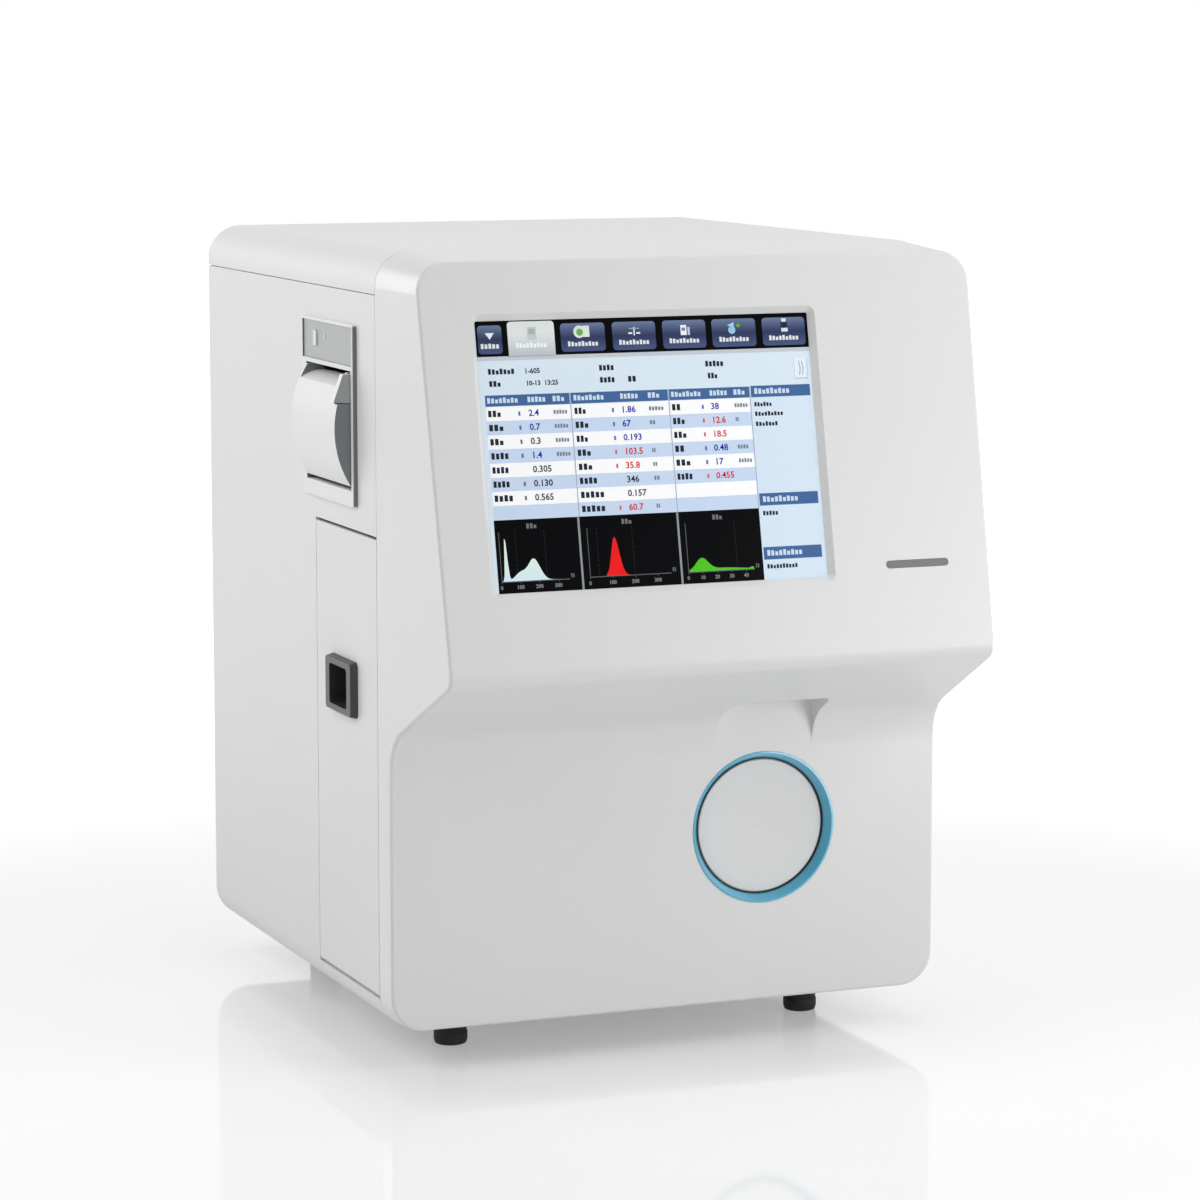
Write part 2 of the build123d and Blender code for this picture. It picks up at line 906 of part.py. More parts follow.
# Finger pull: a moulded cup with a raised frame
with BuildPart() as door_pull:
    with BuildSketch(door_outer.offset(-pull_proud)):
        with Locations((pull_centre_y, pull_centre_height)):
            RectangleRounded(pull_length - 2, pull_height - 2, pull_corner_radius - 1)
    with BuildSketch(door_outer):
        with Locations((pull_centre_y, pull_centre_height)):
            RectangleRounded(pull_length, pull_height, pull_corner_radius)
    loft()
    with BuildSketch(door_outer):
        with Locations((pull_centre_y, pull_centre_height)):
            RectangleRounded(
                pull_recess_length + 2 * pull_wall,
                pull_recess_height + 2 * pull_wall,
                pull_corner_radius,
            )
    extrude(amount=pull_recess_depth)
    with BuildSketch(door_outer.offset(-pull_proud)):
        with Locations((pull_centre_y, pull_centre_height)):
            RectangleRounded(pull_recess_length, pull_recess_height, pull_corner_radius - 1)
    extrude(amount=pull_proud + pull_recess_depth - pull_wall, mode=Mode.SUBTRACT)
finish(door_pull, "door_pull")

with BuildPart() as door_magnet:
    with BuildSketch(level(bay_roof - bay_wall)):
        with Locations((magnet_x, (door_front + door_rear) / 2)):
            Rectangle(magnet_depth, magnet_width)
    extrude(amount=-magnet_height)
finish(door_magnet, "door_magnet")

# Reagent bottle standing on the bay's floor
bottle_x = (sill_x + bay_inner_x) / 2
bottle_y = (door_front + door_rear) / 2
bottle_base = spot(level(bay_floor), bottle_x, bottle_y)
neck_z = bottle_height - bottle_neck_height
with BuildPart() as reagent_bottle:
    add(
        turned(
            (
                (0, 0),
                (bottle_diameter / 2 - 3, 0),
                (bottle_diameter / 2, 3),
                (bottle_diameter / 2, neck_z - bottle_shoulder),
                (bottle_neck_diameter / 2, neck_z),
                (bottle_neck_diameter / 2, bottle_height),
                (bottle_neck_diameter / 2 - bottle_wall, bottle_height),
                (bottle_neck_diameter / 2 - bottle_wall, neck_z),
                (bottle_diameter / 2 - bottle_wall, neck_z - bottle_shoulder - 1),
                (bottle_diameter / 2 - bottle_wall, 3 + bottle_wall),
                (0, 3 + bottle_wall),
            ),
            bottle_base,
        )
    )
finish(reagent_bottle, "reagent_bottle")

with BuildPart() as bottle_cap:
    add(
        turned(
            (
                (0, bottle_height + flat_gap),
                (bottle_neck_diameter / 2 + flat_gap, bottle_height + flat_gap),
                (bottle_neck_diameter / 2 + flat_gap, neck_z + cap_rise),
                (cap_diameter / 2, neck_z + cap_rise),
                (cap_diameter / 2, neck_z + cap_height + cap_rise - cap_edge),
                (cap_diameter / 2 - cap_edge, neck_z + cap_height + cap_rise),
                (0, neck_z + cap_height + cap_rise),
            ),
            bottle_base,
        )
    )
finish(bottle_cap, "bottle_cap")


# Printer: bezel, housing, curved paper cover with lever and platen
printer_face_x = -half_width - printer_proud
printer_face = side_plane(printer_face_x)
printer_mid_y = (printer_front + printer_rear) / 2
printer_mid_z = (printer_bottom + printer_top) / 2
mouth_front = printer_front + printer_rim + collar_wall
lever_front = mouth_front + cover_gap
cover_front = lever_front + lever_thickness + flat_gap
mouth_rear = cover_rear + cover_gap
mouth_bottom = cover_bottom - cover_bottom_gap
mouth_top = cover_top + 2 * cover_gap
housing_x = -half_width + housing_depth
cover_hinge_x = printer_face_x + cover_hinge_inset
cover_hinge_z = cover_bottom + cover_hinge_rise

with BuildPart() as printer_bezel:
    with BuildSketch(printer_face):
        with Locations((printer_mid_y, printer_mid_z)):
            RectangleRounded(
                printer_rear - printer_front, printer_top - printer_bottom, printer_corner_radius
            )
    extrude(amount=printer_proud)
    fillet(printer_bezel.faces().sort_by(Axis.X)[0].edges(), printer_edge_radius)
    with BuildSketch(side_plane(-half_width)):
        with Locations((printer_mid_y, printer_mid_z)):
            Rectangle(
                printer_rear - printer_front - 2 * printer_rim,
                printer_top - printer_bottom - 2 * printer_rim,
            )
    extrude(amount=printer_collar_depth)
    # Mouth of the paper bay
    with BuildSketch(printer_face):
        with Locations(((mouth_front + mouth_rear) / 2, (mouth_bottom + mouth_top) / 2)):
            Rectangle(mouth_rear - mouth_front, mouth_top - mouth_bottom)
    extrude(amount=printer_proud + printer_collar_depth, mode=Mode.SUBTRACT)
    # Bearings for the cover's trunnions
    with BuildSketch(front_plane(-mouth_front + trunnion_reach + flat_gap / 2)):
        with Locations((cover_hinge_x, cover_hinge_z)):
            Circle(cover_pin_diameter / 2 + rod_clearance)
    extrude(
        amount=-(mouth_rear - mouth_front + 2 * trunnion_reach + flat_gap), mode=Mode.SUBTRACT
    )
    # Shallow seat for the key panel, with the key's and the light's holes
    with BuildSketch(printer_face):
        with Locations((printer_mid_y, (key_panel_bottom + printer_top - printer_rim) / 2)):
            Rectangle(
                printer_rear - printer_front - 2 * printer_rim,
                printer_top - printer_rim - key_panel_bottom,
            )
    extrude(amount=key_panel_recess + key_panel_thickness, mode=Mode.SUBTRACT)
    with BuildSketch(printer_face):
        with Locations((feed_key_y, feed_key_z)):
            RectangleRounded(feed_key_width, feed_key_height, feed_key_radius)
        with Locations((led_y, led_z)):
            Circle(led_diameter / 2)
    extrude(amount=printer_proud + printer_collar_depth, mode=Mode.SUBTRACT)
finish(printer_bezel, "printer_bezel")

with BuildPart() as key_panel:
    with BuildSketch(side_plane(printer_face_x + key_panel_recess)):
        with Locations((printer_mid_y, (key_panel_bottom + printer_top - printer_rim) / 2)):
            Rectangle(
                printer_rear - printer_front - 2 * printer_rim - 2 * button_fit_gap,
                printer_top - printer_rim - key_panel_bottom - 2 * button_fit_gap,
            )
        with Locations((feed_key_y, feed_key_z)):
            RectangleRounded(feed_key_width, feed_key_height, feed_key_radius, mode=Mode.SUBTRACT)
        with Locations((led_y, led_z)):
            Circle(led_diameter / 2, mode=Mode.SUBTRACT)
    extrude(amount=key_panel_thickness)
finish(key_panel, "key_panel")

with BuildPart() as feed_key:
    with BuildSketch(side_plane(printer_face_x + key_panel_recess - feed_key_proud)):
        with Locations((feed_key_y, feed_key_z)):
            RectangleRounded(
                feed_key_width - 2 * button_fit_gap,
                feed_key_height - 2 * button_fit_gap,
                feed_key_radius - button_fit_gap,
            )
    extrude(amount=feed_key_proud + key_panel_thickness + 3 * feed_key_travel)
finish(feed_key, "feed_key")

with BuildPart() as printer_led:
    with BuildSketch(side_plane(printer_face_x + key_panel_recess - led_proud)):
        with Locations((led_y, led_z)):
            Circle(led_diameter / 2 - led_fit_gap)
    extrude(amount=led_length)
finish(printer_led, "printer_led")

# Housing behind the bezel: a box open to the left, with the roll's cradle in its floor
housing_left = -half_width + printer_collar_depth + flat_gap
with BuildPart() as printer_housing:
    with BuildSketch(side_plane(housing_left)):
        with Locations((printer_mid_y, printer_mid_z)):
            Rectangle(
                printer_rear - printer_front - 2 * printer_rim,
                printer_top - printer_bottom - 2 * printer_rim,
            )
    extrude(amount=housing_x - housing_left)
    with BuildSketch(side_plane(housing_left)):
        with Locations(((mouth_front + mouth_rear) / 2, (mouth_bottom + mouth_top) / 2)):
            Rectangle(mouth_rear - mouth_front, mouth_top - mouth_bottom)
    extrude(amount=housing_x - housing_left - housing_wall, mode=Mode.SUBTRACT)
finish(printer_housing, "printer_housing")

cover_side = Plane(
    origin=(mid_x + printer_face_x, seam_y, 0), x_dir=(-1, 0, 0), z_dir=(0, 1, 0)
)
platen_x = printer_face_x + platen_inset

scoop_low = cover_top - scoop_reach
with BuildPart() as paper_cover:
    with BuildSketch(cover_side.offset(lever_front)):
        with BuildLine():
            ThreePointArc(
                (0, cover_bottom + 1),
                (cover_bulge, (cover_bottom + cover_top) / 2),
                (0, cover_top),
            )
            Polyline(
                (0, cover_top),
                (-cover_back, cover_top),
                (-cover_hinge_inset - cover_hinge_rise, cover_hinge_z),
                (-cover_hinge_inset, cover_hinge_z - cover_hinge_rise),
                (0, cover_bottom + 1),
            )
        make_face()
    extrude(amount=cover_rear - lever_front)
    # Hollow for the roll and the platen
    with BuildSketch(cover_side.offset(cover_front + cover_wall)):
        with BuildLine():
            ThreePointArc(
                (0, cover_bottom + 1 + cover_wall),
                (cover_bulge - cover_wall, (cover_bottom + cover_top) / 2),
                (0, cover_top - cover_wall),
            )
            Polyline(
                (0, cover_top - cover_wall),
                (-2 * cover_back, cover_top - cover_wall),
                (-2 * cover_back, cover_bottom + 1 + cover_wall),
                (0, cover_bottom + 1 + cover_wall),
            )
        make_face()
        with Locations((0, (cover_bottom + scoop_low - cover_wall) / 2)):
            Rectangle(4 * cover_back, scoop_low - cover_wall - cover_bottom, mode=Mode.INTERSECT)
    extrude(amount=cover_rear - cover_front - 2 * cover_wall, mode=Mode.SUBTRACT)
    # Scooped top between two ears, where the printed strip comes out
    with BuildSketch(cover_side.offset(cover_front + scoop_ear)):
        with BuildLine():
            ThreePointArc(
                (-cover_back, cover_top - scoop_depth),
                (-cover_back / 4, cover_top - scoop_middle),
                (cover_bulge, scoop_low - scoop_depth),
            )
            Polyline(
                (cover_bulge, scoop_low - scoop_depth),
                (2 * cover_bulge, cover_top + scoop_depth),
                (-2 * cover_back, cover_top + scoop_depth),
                (-2 * cover_back, cover_top - scoop_depth),
                (-cover_back, cover_top - scoop_depth),
            )
        make_face()
    extrude(amount=cover_rear - cover_front - 2 * scoop_ear, mode=Mode.SUBTRACT)
    # Notch for the lever in the front corner, and the pin that it turns on
    with BuildSketch(cover_side.offset(lever_front)):
        with Locations((0, cover_top)):
            Rectangle(4 * cover_back, 2 * (cover_top - lever_bottom + cover_gap))
    extrude(amount=lever_thickness + flat_gap, mode=Mode.SUBTRACT)
    with BuildSketch(cover_side.offset(lever_front)):
        with Locations((-lever_pin_inset, lever_pin_height)):
            Circle(lever_pin_diameter / 2)
    extrude(amount=lever_thickness + flat_gap)
    # Trunnions at the bottom, and the holes for the platen's shaft
    with BuildSketch(front_plane(-mouth_front + trunnion_reach)):
        with Locations((cover_hinge_x, cover_hinge_z)):
            Circle(cover_pin_diameter / 2)
    extrude(amount=-(mouth_rear - mouth_front + 2 * trunnion_reach))
    with BuildSketch(front_plane(-cover_front)):
        with Locations((platen_x, platen_height)):
            Circle(platen_shaft_diameter / 2 + rod_clearance)
    extrude(amount=-(mouth_rear - cover_front), mode=Mode.SUBTRACT)
finish(paper_cover, "paper_cover")

with BuildPart() as platen_roller:
    with BuildSketch(front_plane(-(cover_front + flat_gap))):
        with Locations((platen_x, platen_height)):
            Circle(platen_shaft_diameter / 2)
    extrude(amount=-(cover_rear - cover_front - flat_gap))
    with BuildSketch(front_plane(-(cover_front + cover_wall + flat_gap))):
        with Locations((platen_x, platen_height)):
            Circle(platen_diameter / 2)
    extrude(amount=-(cover_rear - cover_front - 2 * cover_wall - 2 * flat_gap))
finish(platen_roller, "platen_roller")

with BuildPart() as cover_lever:
    with BuildSketch(cover_side.offset(lever_front)):
        with BuildLine():
            Polyline(
                (-2 * lever_pin_inset, lever_pin_height - lever_pin_diameter),
                (0.5, lever_bottom),
                (lever_proud_bottom, lever_bottom + lever_toe),
                (lever_proud_top, lever_bottom + lever_height),
                (-2 * lever_pin_inset, lever_bottom + lever_height),
                close=True,
            )
        make_face()
        with Locations((-lever_pin_inset, lever_pin_height)):
            Circle(lever_pin_diameter / 2 + rod_clearance, mode=Mode.SUBTRACT)
    extrude(amount=lever_thickness)
finish(cover_lever, "cover_lever")

# Paper roll lying in its cradle, and the print head behind the platen
roll_z = mouth_bottom + roll_diameter / 2 + flat_gap
roll_x = housing_x - housing_wall - roll_diameter / 2 - 2
roll_front = (mouth_front + mouth_rear - paper_width) / 2
with BuildPart() as paper_roll:
    with BuildSketch(front_plane(-roll_front)):
        with Locations((roll_x, roll_z)):
            Circle(roll_diameter / 2)
            Circle(roll_core_diameter / 2, mode=Mode.SUBTRACT)
    extrude(amount=-paper_width)
finish(paper_roll, "paper_roll")

head_x = platen_x + platen_diameter / 2 + head_gap
with BuildPart() as print_head:
    with BuildSketch(side_plane(head_x)):
        with Locations(((mouth_front + mouth_rear) / 2, platen_height)):
            Rectangle(mouth_rear - mouth_front, print_head_height)
    extrude(amount=print_head_depth)
finish(print_head, "print_head")

# Bulkhead between the fluid parts in front and the electronics behind
bulkhead_plane = front_plane(-bulkhead_y)
sleeve_width = body_width - 2 * panel_thickness - 2 * flat_gap
sleeve_height = body_height - 2 * panel_thickness - 2 * flat_gap
sleeve_radius = corner_radius - panel_thickness - flat_gap
tray_floor = foot_height + tray_thickness
tray_rim = foot_height + tray_flange + flat_gap
tray_inner_width = tray_width - 2 * tray_thickness - 2 * flat_gap
with BuildPart() as bulkhead:
    with BuildSketch(bulkhead_plane):
        with Locations((0, foot_height + body_height / 2)):
            RectangleRounded(sleeve_width, sleeve_height, sleeve_radius)
        with Locations((0, (foot_height + tray_rim) / 2)):
            Rectangle(sleeve_width, tray_rim - foot_height, mode=Mode.SUBTRACT)
        with Locations((0, (tray_floor + tray_rim) / 2)):
            Rectangle(tray_inner_width, tray_rim - tray_floor)
        with Locations((0, body_top - bulkhead_window_drop)):
            RectangleRounded(
                bulkhead_window_width,
                bulkhead_window_height,
                bulkhead_window_radius,
                mode=Mode.SUBTRACT,
            )
    extrude(amount=-bulkhead_thickness)
finish(bulkhead, "bulkhead")

# Probe drive: two rods carry the carriage front to rear, its mast carries the lift
probe_x = recess_centre_x
mast_x = rod_x - carriage_width / 2 - carriage_plate
lift_x = mast_x - lift_rod_spacing
rod_places = ((rod_x, rod_low_height), (rod_x, rod_high_height))
with BuildPart() as guide_rods:
    with BuildSketch(front_plane(rod_front_setback)):
        with Locations(*rod_places):
            Circle(rod_diameter / 2)
    extrude(amount=-(rod_front_setback + bulkhead_y))
finish(guide_rods, "guide_rods")

bracket_low = rod_low_height - 2 * rod_diameter
bracket_high = rod_high_height + 2 * rod_diameter
bracket_left = rod_x - bracket_side_margin
bracket_right = rod_x + carriage_width / 2 + bracket_gap
with BuildPart() as rod_bracket:
    # An end plate for the rods, folded to a long side plate screwed to the bulkhead
    with BuildSketch(front_plane(rod_front_setback - bracket_thickness)):
        with Locations(((bracket_left + bracket_right) / 2, (bracket_low + bracket_high) / 2)):
            Rectangle(bracket_right - bracket_left, bracket_high - bracket_low)
        with Locations(*rod_places):
            Circle(rod_diameter / 2, mode=Mode.SUBTRACT)
    extrude(amount=bracket_thickness)
    with BuildSketch(front_plane(rod_front_setback)):
        with Locations((bracket_right - bracket_thickness / 2, (bracket_low + bracket_high) / 2)):
            Rectangle(bracket_thickness, bracket_high - bracket_low)
    extrude(amount=-(rod_front_setback + bulkhead_y))
finish(rod_bracket, "rod_bracket")

carriage_mid_z = (carriage_low + carriage_high) / 2
wash_low = recess_ceiling_height + front_wall + wash_gap
arm_low = wash_low + wash_block_height
arm_high = mast_top - arm_thickness
arm_left = probe_x - wash_block_width / 2
arm_width = mast_x + carriage_plate - arm_left
lift_rod_place = (lift_x, -probe_setback - lift_rod_spacing)
lift_screw_place = (lift_x, -probe_setback + lift_rod_spacing)
with BuildPart() as probe_carriage:
    with BuildSketch(front_plane(probe_setback + carriage_length / 2)):
        with Locations((rod_x, carriage_mid_z)):
            Rectangle(carriage_width, carriage_high - carriage_low)
        with Locations((mast_x + carriage_plate / 2, (arm_low + mast_top) / 2)):
            Rectangle(carriage_plate, mast_top - arm_low)
        with Locations(*rod_places):
            Circle(rod_diameter / 2 + rod_clearance, mode=Mode.SUBTRACT)
    extrude(amount=-carriage_length)
    # Bottom and top arms, bored for the lift's rod and screw and for the probe
    with BuildSketch(level(arm_low), level(arm_high)):
        with Locations((arm_left + arm_width / 2, -probe_setback)):
            Rectangle(arm_width, carriage_length)
        with Locations(lift_rod_place):
            Circle(lift_rod_diameter / 2, mode=Mode.SUBTRACT)
        with Locations(lift_screw_place):
            Circle(lift_screw_diameter / 2 + rod_clearance, mode=Mode.SUBTRACT)
        with Locations((probe_x, -probe_setback)):
            Circle(probe_diameter, mode=Mode.SUBTRACT)
    extrude(amount=arm_thickness)
    # The lift's guide rod, pressed into both arms
    with BuildSketch(level(arm_low)):
        with Locations(lift_rod_place):
            Circle(lift_rod_diameter / 2)
    extrude(amount=mast_top - arm_low)
finish(probe_carriage, "probe_carriage")

with BuildPart() as wash_block:
    with BuildSketch(level(wash_low)):
        with Locations((probe_x, -probe_setback)):
            Rectangle(wash_block_width, wash_block_length)
            Circle(wash_bore_diameter / 2, mode=Mode.SUBTRACT)
    extrude(amount=wash_block_height)
    # Nozzles for the rinse, one on each side
    with BuildSketch(front_plane(probe_setback + wash_block_length / 2)):
        with Locations((probe_x, wash_low + wash_block_height / 2)):
            Circle(nozzle_diameter / 2)
    extrude(amount=nozzle_length)
    with BuildSketch(front_plane(probe_setback - wash_block_length / 2)):
        with Locations((probe_x, wash_low + wash_block_height / 2)):
            Circle(nozzle_diameter / 2)
    extrude(amount=-nozzle_length)
finish(wash_block, "wash_block")

with BuildPart() as lift_screw:
    with BuildSketch(level(arm_low)):
        with Locations(lift_screw_place):
            Circle(lift_screw_diameter / 2)
    extrude(amount=mast_top - arm_low - flat_gap)
finish(lift_screw, "lift_screw")

with BuildPart() as lift_motor:
    with BuildSketch(level(mast_top)):
        with Locations((lift_x, -probe_setback)):
            RectangleRounded(motor_size, motor_size, 3)
    extrude(amount=motor_length)
finish(lift_motor, "lift_motor")

holder_top = probe_tip_height + probe_length
with BuildPart() as probe_holder:
    with BuildSketch(level(holder_top - holder_height)):
        with Locations(((arm_left + mast_x - flat_gap) / 2, -probe_setback)):
            Rectangle(mast_x - flat_gap - arm_left, carriage_length)
        with Locations(lift_rod_place):
            Circle(lift_rod_diameter / 2 + rod_clearance, mode=Mode.SUBTRACT)
        with Locations(lift_screw_place):
            Circle(lift_screw_diameter / 2 + rod_clearance, mode=Mode.SUBTRACT)
        with Locations((probe_x, -probe_setback)):
            Circle(probe_diameter / 2, mode=Mode.SUBTRACT)
    extrude(amount=holder_height)
finish(probe_holder, "probe_holder")

with BuildPart() as sample_probe:
    with BuildSketch(level(probe_tip_height)):
        with Locations((probe_x, -probe_setback)):
            Circle(probe_diameter / 2)
            Circle(probe_bore / 2, mode=Mode.SUBTRACT)
    extrude(amount=probe_length + probe_tail)
finish(sample_probe, "sample_probe")

# Counting baths on a bracket from the bulkhead
bath_places = {"first_bath": first_bath_y, "second_bath": second_bath_y}
bath_plate_top = bath_top - bath_rim_drop
with BuildPart() as bath_bracket:
    with BuildSketch(level(bath_plate_top)):
        bracket_front = first_bath_y - bath_diameter / 2 - bath_margin
        with Locations((probe_x, (bracket_front + bulkhead_y) / 2)):
            Rectangle(bath_diameter + 2 * bath_margin, bulkhead_y - bracket_front)
        with Locations((probe_x, first_bath_y), (probe_x, second_bath_y)):
            Circle(bath_diameter / 2, mode=Mode.SUBTRACT)
    extrude(amount=-bath_bracket_thickness)
    with BuildSketch(front_plane(-bulkhead_y)):
        with Locations((probe_x, bath_plate_top - bath_flange / 2)):
            Rectangle(bath_diameter + 2 * bath_margin, bath_flange)
    extrude(amount=bath_bracket_thickness)
finish(bath_bracket, "bath_bracket")

bath_radius = bath_diameter / 2
bath_bottom = bath_top - bath_height
for bath_name, bath_y in bath_places.items():
    bath_base = spot(level(bath_bottom), probe_x, bath_y)
    with BuildPart() as bath:
        add(
            turned(
                (
                    (bath_drain_diameter / 2 - bath_drain_wall, -bath_drain_length),
                    (bath_drain_diameter / 2, -bath_drain_length),
                    (bath_drain_diameter / 2, 0),
                    (bath_radius, bath_radius / 2),
                    (bath_radius, bath_plate_top - bath_bottom),
                    (bath_radius + bath_wall, bath_plate_top - bath_bottom),
                    (bath_radius + bath_wall, bath_plate_top - bath_bottom + bath_wall),
                    (bath_radius, bath_plate_top - bath_bottom + bath_wall),
                    (bath_radius, bath_height),
                    (bath_radius - bath_wall, bath_height),
                    (bath_radius - bath_wall, bath_radius / 2 + bath_wall),
                    (bath_drain_diameter / 2 - bath_drain_wall, bath_wall),
                ),
                bath_base,
            )
        )
    finish(bath, bath_name)

# Sample syringe with its linear motor
syringe_base = spot(level(syringe_low), syringe_x, syringe_y)
motor_top = syringe_low - syringe_travel - 2 * bath_wall - motor_drop
with BuildPart() as syringe_bracket:
    with BuildSketch(front_plane(-bulkhead_y)):
        with Locations((syringe_x, (syringe_low + motor_top) / 2)):
            Rectangle(syringe_motor_size, syringe_low - motor_top + 2 * arm_thickness)
    extrude(amount=bracket_thickness)
    with BuildSketch(level(syringe_low - arm_thickness), level(motor_top)):
        with Locations((syringe_x, (syringe_y - syringe_motor_size / 2 + bulkhead_y) / 2)):
            Rectangle(
                syringe_motor_size, bulkhead_y - syringe_y + syringe_motor_size / 2
            )
        with Locations((syringe_x, syringe_y)):
            Circle(plunger_rod_diameter / 2 + 1, mode=Mode.SUBTRACT)
    extrude(amount=arm_thickness)
finish(syringe_bracket, "syringe_bracket")

with BuildPart() as syringe_barrel:
    add(
        turned(
            (
                (syringe_bore / 2, 0),
                (syringe_bore / 2 + syringe_wall + syringe_flange, 0),
                (syringe_bore / 2 + syringe_wall + syringe_flange, syringe_flange_height),
                (syringe_bore / 2 + syringe_wall, syringe_flange_height),
                (syringe_bore / 2 + syringe_wall, syringe_length),
                (syringe_nozzle_radius, syringe_length + syringe_shoulder),
                (syringe_nozzle_radius, syringe_length + syringe_nozzle_length),
                (syringe_nozzle_bore, syringe_length + syringe_nozzle_length),
                (syringe_nozzle_bore, syringe_length),
                (syringe_bore / 2, syringe_length - syringe_nozzle_radius),
            ),
            syringe_base,
        )
    )
finish(syringe_barrel, "syringe_barrel")

piston_top = syringe_length - 6
with BuildPart() as syringe_plunger:
    add(
        turned(
            (
                (0, motor_top - syringe_low - arm_thickness),
                (plunger_rod_diameter / 2, motor_top - syringe_low - arm_thickness),
                (plunger_rod_diameter / 2, piston_top - piston_length),
                (syringe_bore / 2 - plunger_clearance, piston_top - piston_length),
                (syringe_bore / 2 - plunger_clearance, piston_top),
                (0, piston_top),
            ),
            syringe_base,
        )
    )
finish(syringe_plunger, "syringe_plunger")

with BuildPart() as syringe_motor:
    with BuildSketch(level(motor_top)):
        with Locations((syringe_x, syringe_y)):
            Rectangle(syringe_motor_size, syringe_motor_size)
            Circle(plunger_rod_diameter / 2 + plunger_clearance, mode=Mode.SUBTRACT)
    extrude(amount=-syringe_motor_length)
finish(syringe_motor, "syringe_motor")

# Valve manifold, pump and waste chamber
manifold_front = bulkhead_y - manifold_depth
valve_pitch = manifold_width / valve_count
with BuildPart() as valve_manifold:
    with BuildSketch(front_plane(-bulkhead_y)):
        with Locations((manifold_x, manifold_z)):
            Rectangle(manifold_width, manifold_height)
    extrude(amount=manifold_depth)
    # A row of solenoid valves screwed to the manifold
    with BuildSketch(front_plane(-manifold_front)):
        with Locations((manifold_x, manifold_z)):
            with GridLocations(valve_pitch, 1, valve_count, 1):
                Circle(valve_diameter / 2)
    extrude(amount=valve_length)
finish(valve_manifold, "valve_manifold")

with BuildPart() as diluent_pump:
    with BuildSketch(level(tray_floor)):
        with Locations((pump_x, pump_y)):
            Circle(pump_diameter / 2)
    extrude(amount=pump_length)
    with BuildSketch(level(tray_floor + pump_length)):
        with Locations((pump_x, pump_y)):
            Rectangle(pump_diameter, pump_head_depth)
    extrude(amount=pump_head)
    fillet(diluent_pump.edges().group_by(Axis.Z)[-1], 2)
finish(diluent_pump, "diluent_pump")

with BuildPart() as waste_chamber:
    with BuildSketch(level(tray_floor)):
        with Locations((chamber_x, chamber_y)):
            Circle(chamber_diameter / 2)
    extrude(amount=chamber_height)
    fillet(waste_chamber.edges().group_by(Axis.Z)[-1], chamber_shoulder)
    with BuildSketch(level(tray_floor + chamber_height)):
        with Locations((chamber_x, chamber_y)):
            with GridLocations(nozzle_pitch, 1, 2, 1):
                Circle(nozzle_diameter)
    extrude(amount=nozzle_length)
finish(waste_chamber, "waste_chamber")

# Power supply and main board
with BuildPart() as power_supply:
    with BuildSketch(level(tray_floor)):
        with Locations((supply_x, supply_y)):
            Rectangle(supply_width, supply_length)
    extrude(amount=supply_height)
    with BuildSketch(level(tray_floor + supply_height)):
        with Locations((supply_x, supply_y)):
            with GridLocations(supply_slot_pitch, 1, supply_slot_count, 1):
                SlotOverall(supply_slot_length, supply_slot_pitch / 2, rotation=90)
    extrude(amount=-supply_slot_depth, mode=Mode.SUBTRACT)
finish(power_supply, "power_supply")

board_x = inner_x - board_standoff - board_thickness
board_rear = body_depth - rear_panel_thickness - 4 * flat_gap
board_mid_y = board_rear - board_length / 2
board_mid_z = board_bottom + board_height / 2
usb_places = [data_port_height + row * usb_pitch for row in range(usb_count)]
network_z = data_port_height - usb_pitch
port_x = board_x - usb_shell_width / 2
network_x = board_x - network_width / 2
with BuildPart() as main_board:
    with BuildSketch(side_plane(board_x)):
        with Locations((board_mid_y, board_mid_z)):
            Rectangle(board_length, board_height)
    extrude(amount=board_thickness)
    with BuildSketch(side_plane(board_x + board_thickness)):
        with Locations((board_mid_y, board_mid_z)):
            with GridLocations(
                board_length - 2 * board_hole_margin, board_height - 2 * board_hole_margin, 2, 2
            ):
                Circle(standoff_radius)
    extrude(amount=board_standoff)
    with BuildSketch(side_plane(board_x)):
        with Locations(
            (board_mid_y - chip_offset, board_mid_z - chip_low),
            (board_mid_y - chip_offset, board_mid_z + chip_high),
        ):
            Rectangle(chip_size, chip_size)
        with Locations((board_mid_y - connector_offset, board_mid_z)):
            Rectangle(connector_width, connector_height)
    extrude(amount=-chip_height)
    # Data ports on the board's rear edge, reaching through the rear panel
    with BuildSketch(rear_plane(body_depth)):
        with Locations(*[(-port_x, height) for height in usb_places]):
            Rectangle(usb_shell_width, usb_shell_height)
        with Locations((-network_x, network_z)):
            Rectangle(network_width, network_height)
    extrude(amount=-usb_depth)
    with BuildSketch(rear_plane(body_depth)):
        with Locations(*[(-port_x, height - usb_shell_height / 4) for height in usb_places]):
            Rectangle(usb_width, usb_slot_height)
        with Locations(*[(-port_x, height + usb_shell_height / 4) for height in usb_places]):
            Rectangle(usb_width, usb_slot_height)
        with Locations((-network_x, network_z)):
            Rectangle(network_slot_width, network_slot_height)
    extrude(amount=-usb_depth + port_back_wall, mode=Mode.SUBTRACT)
finish(main_board, "main_board")

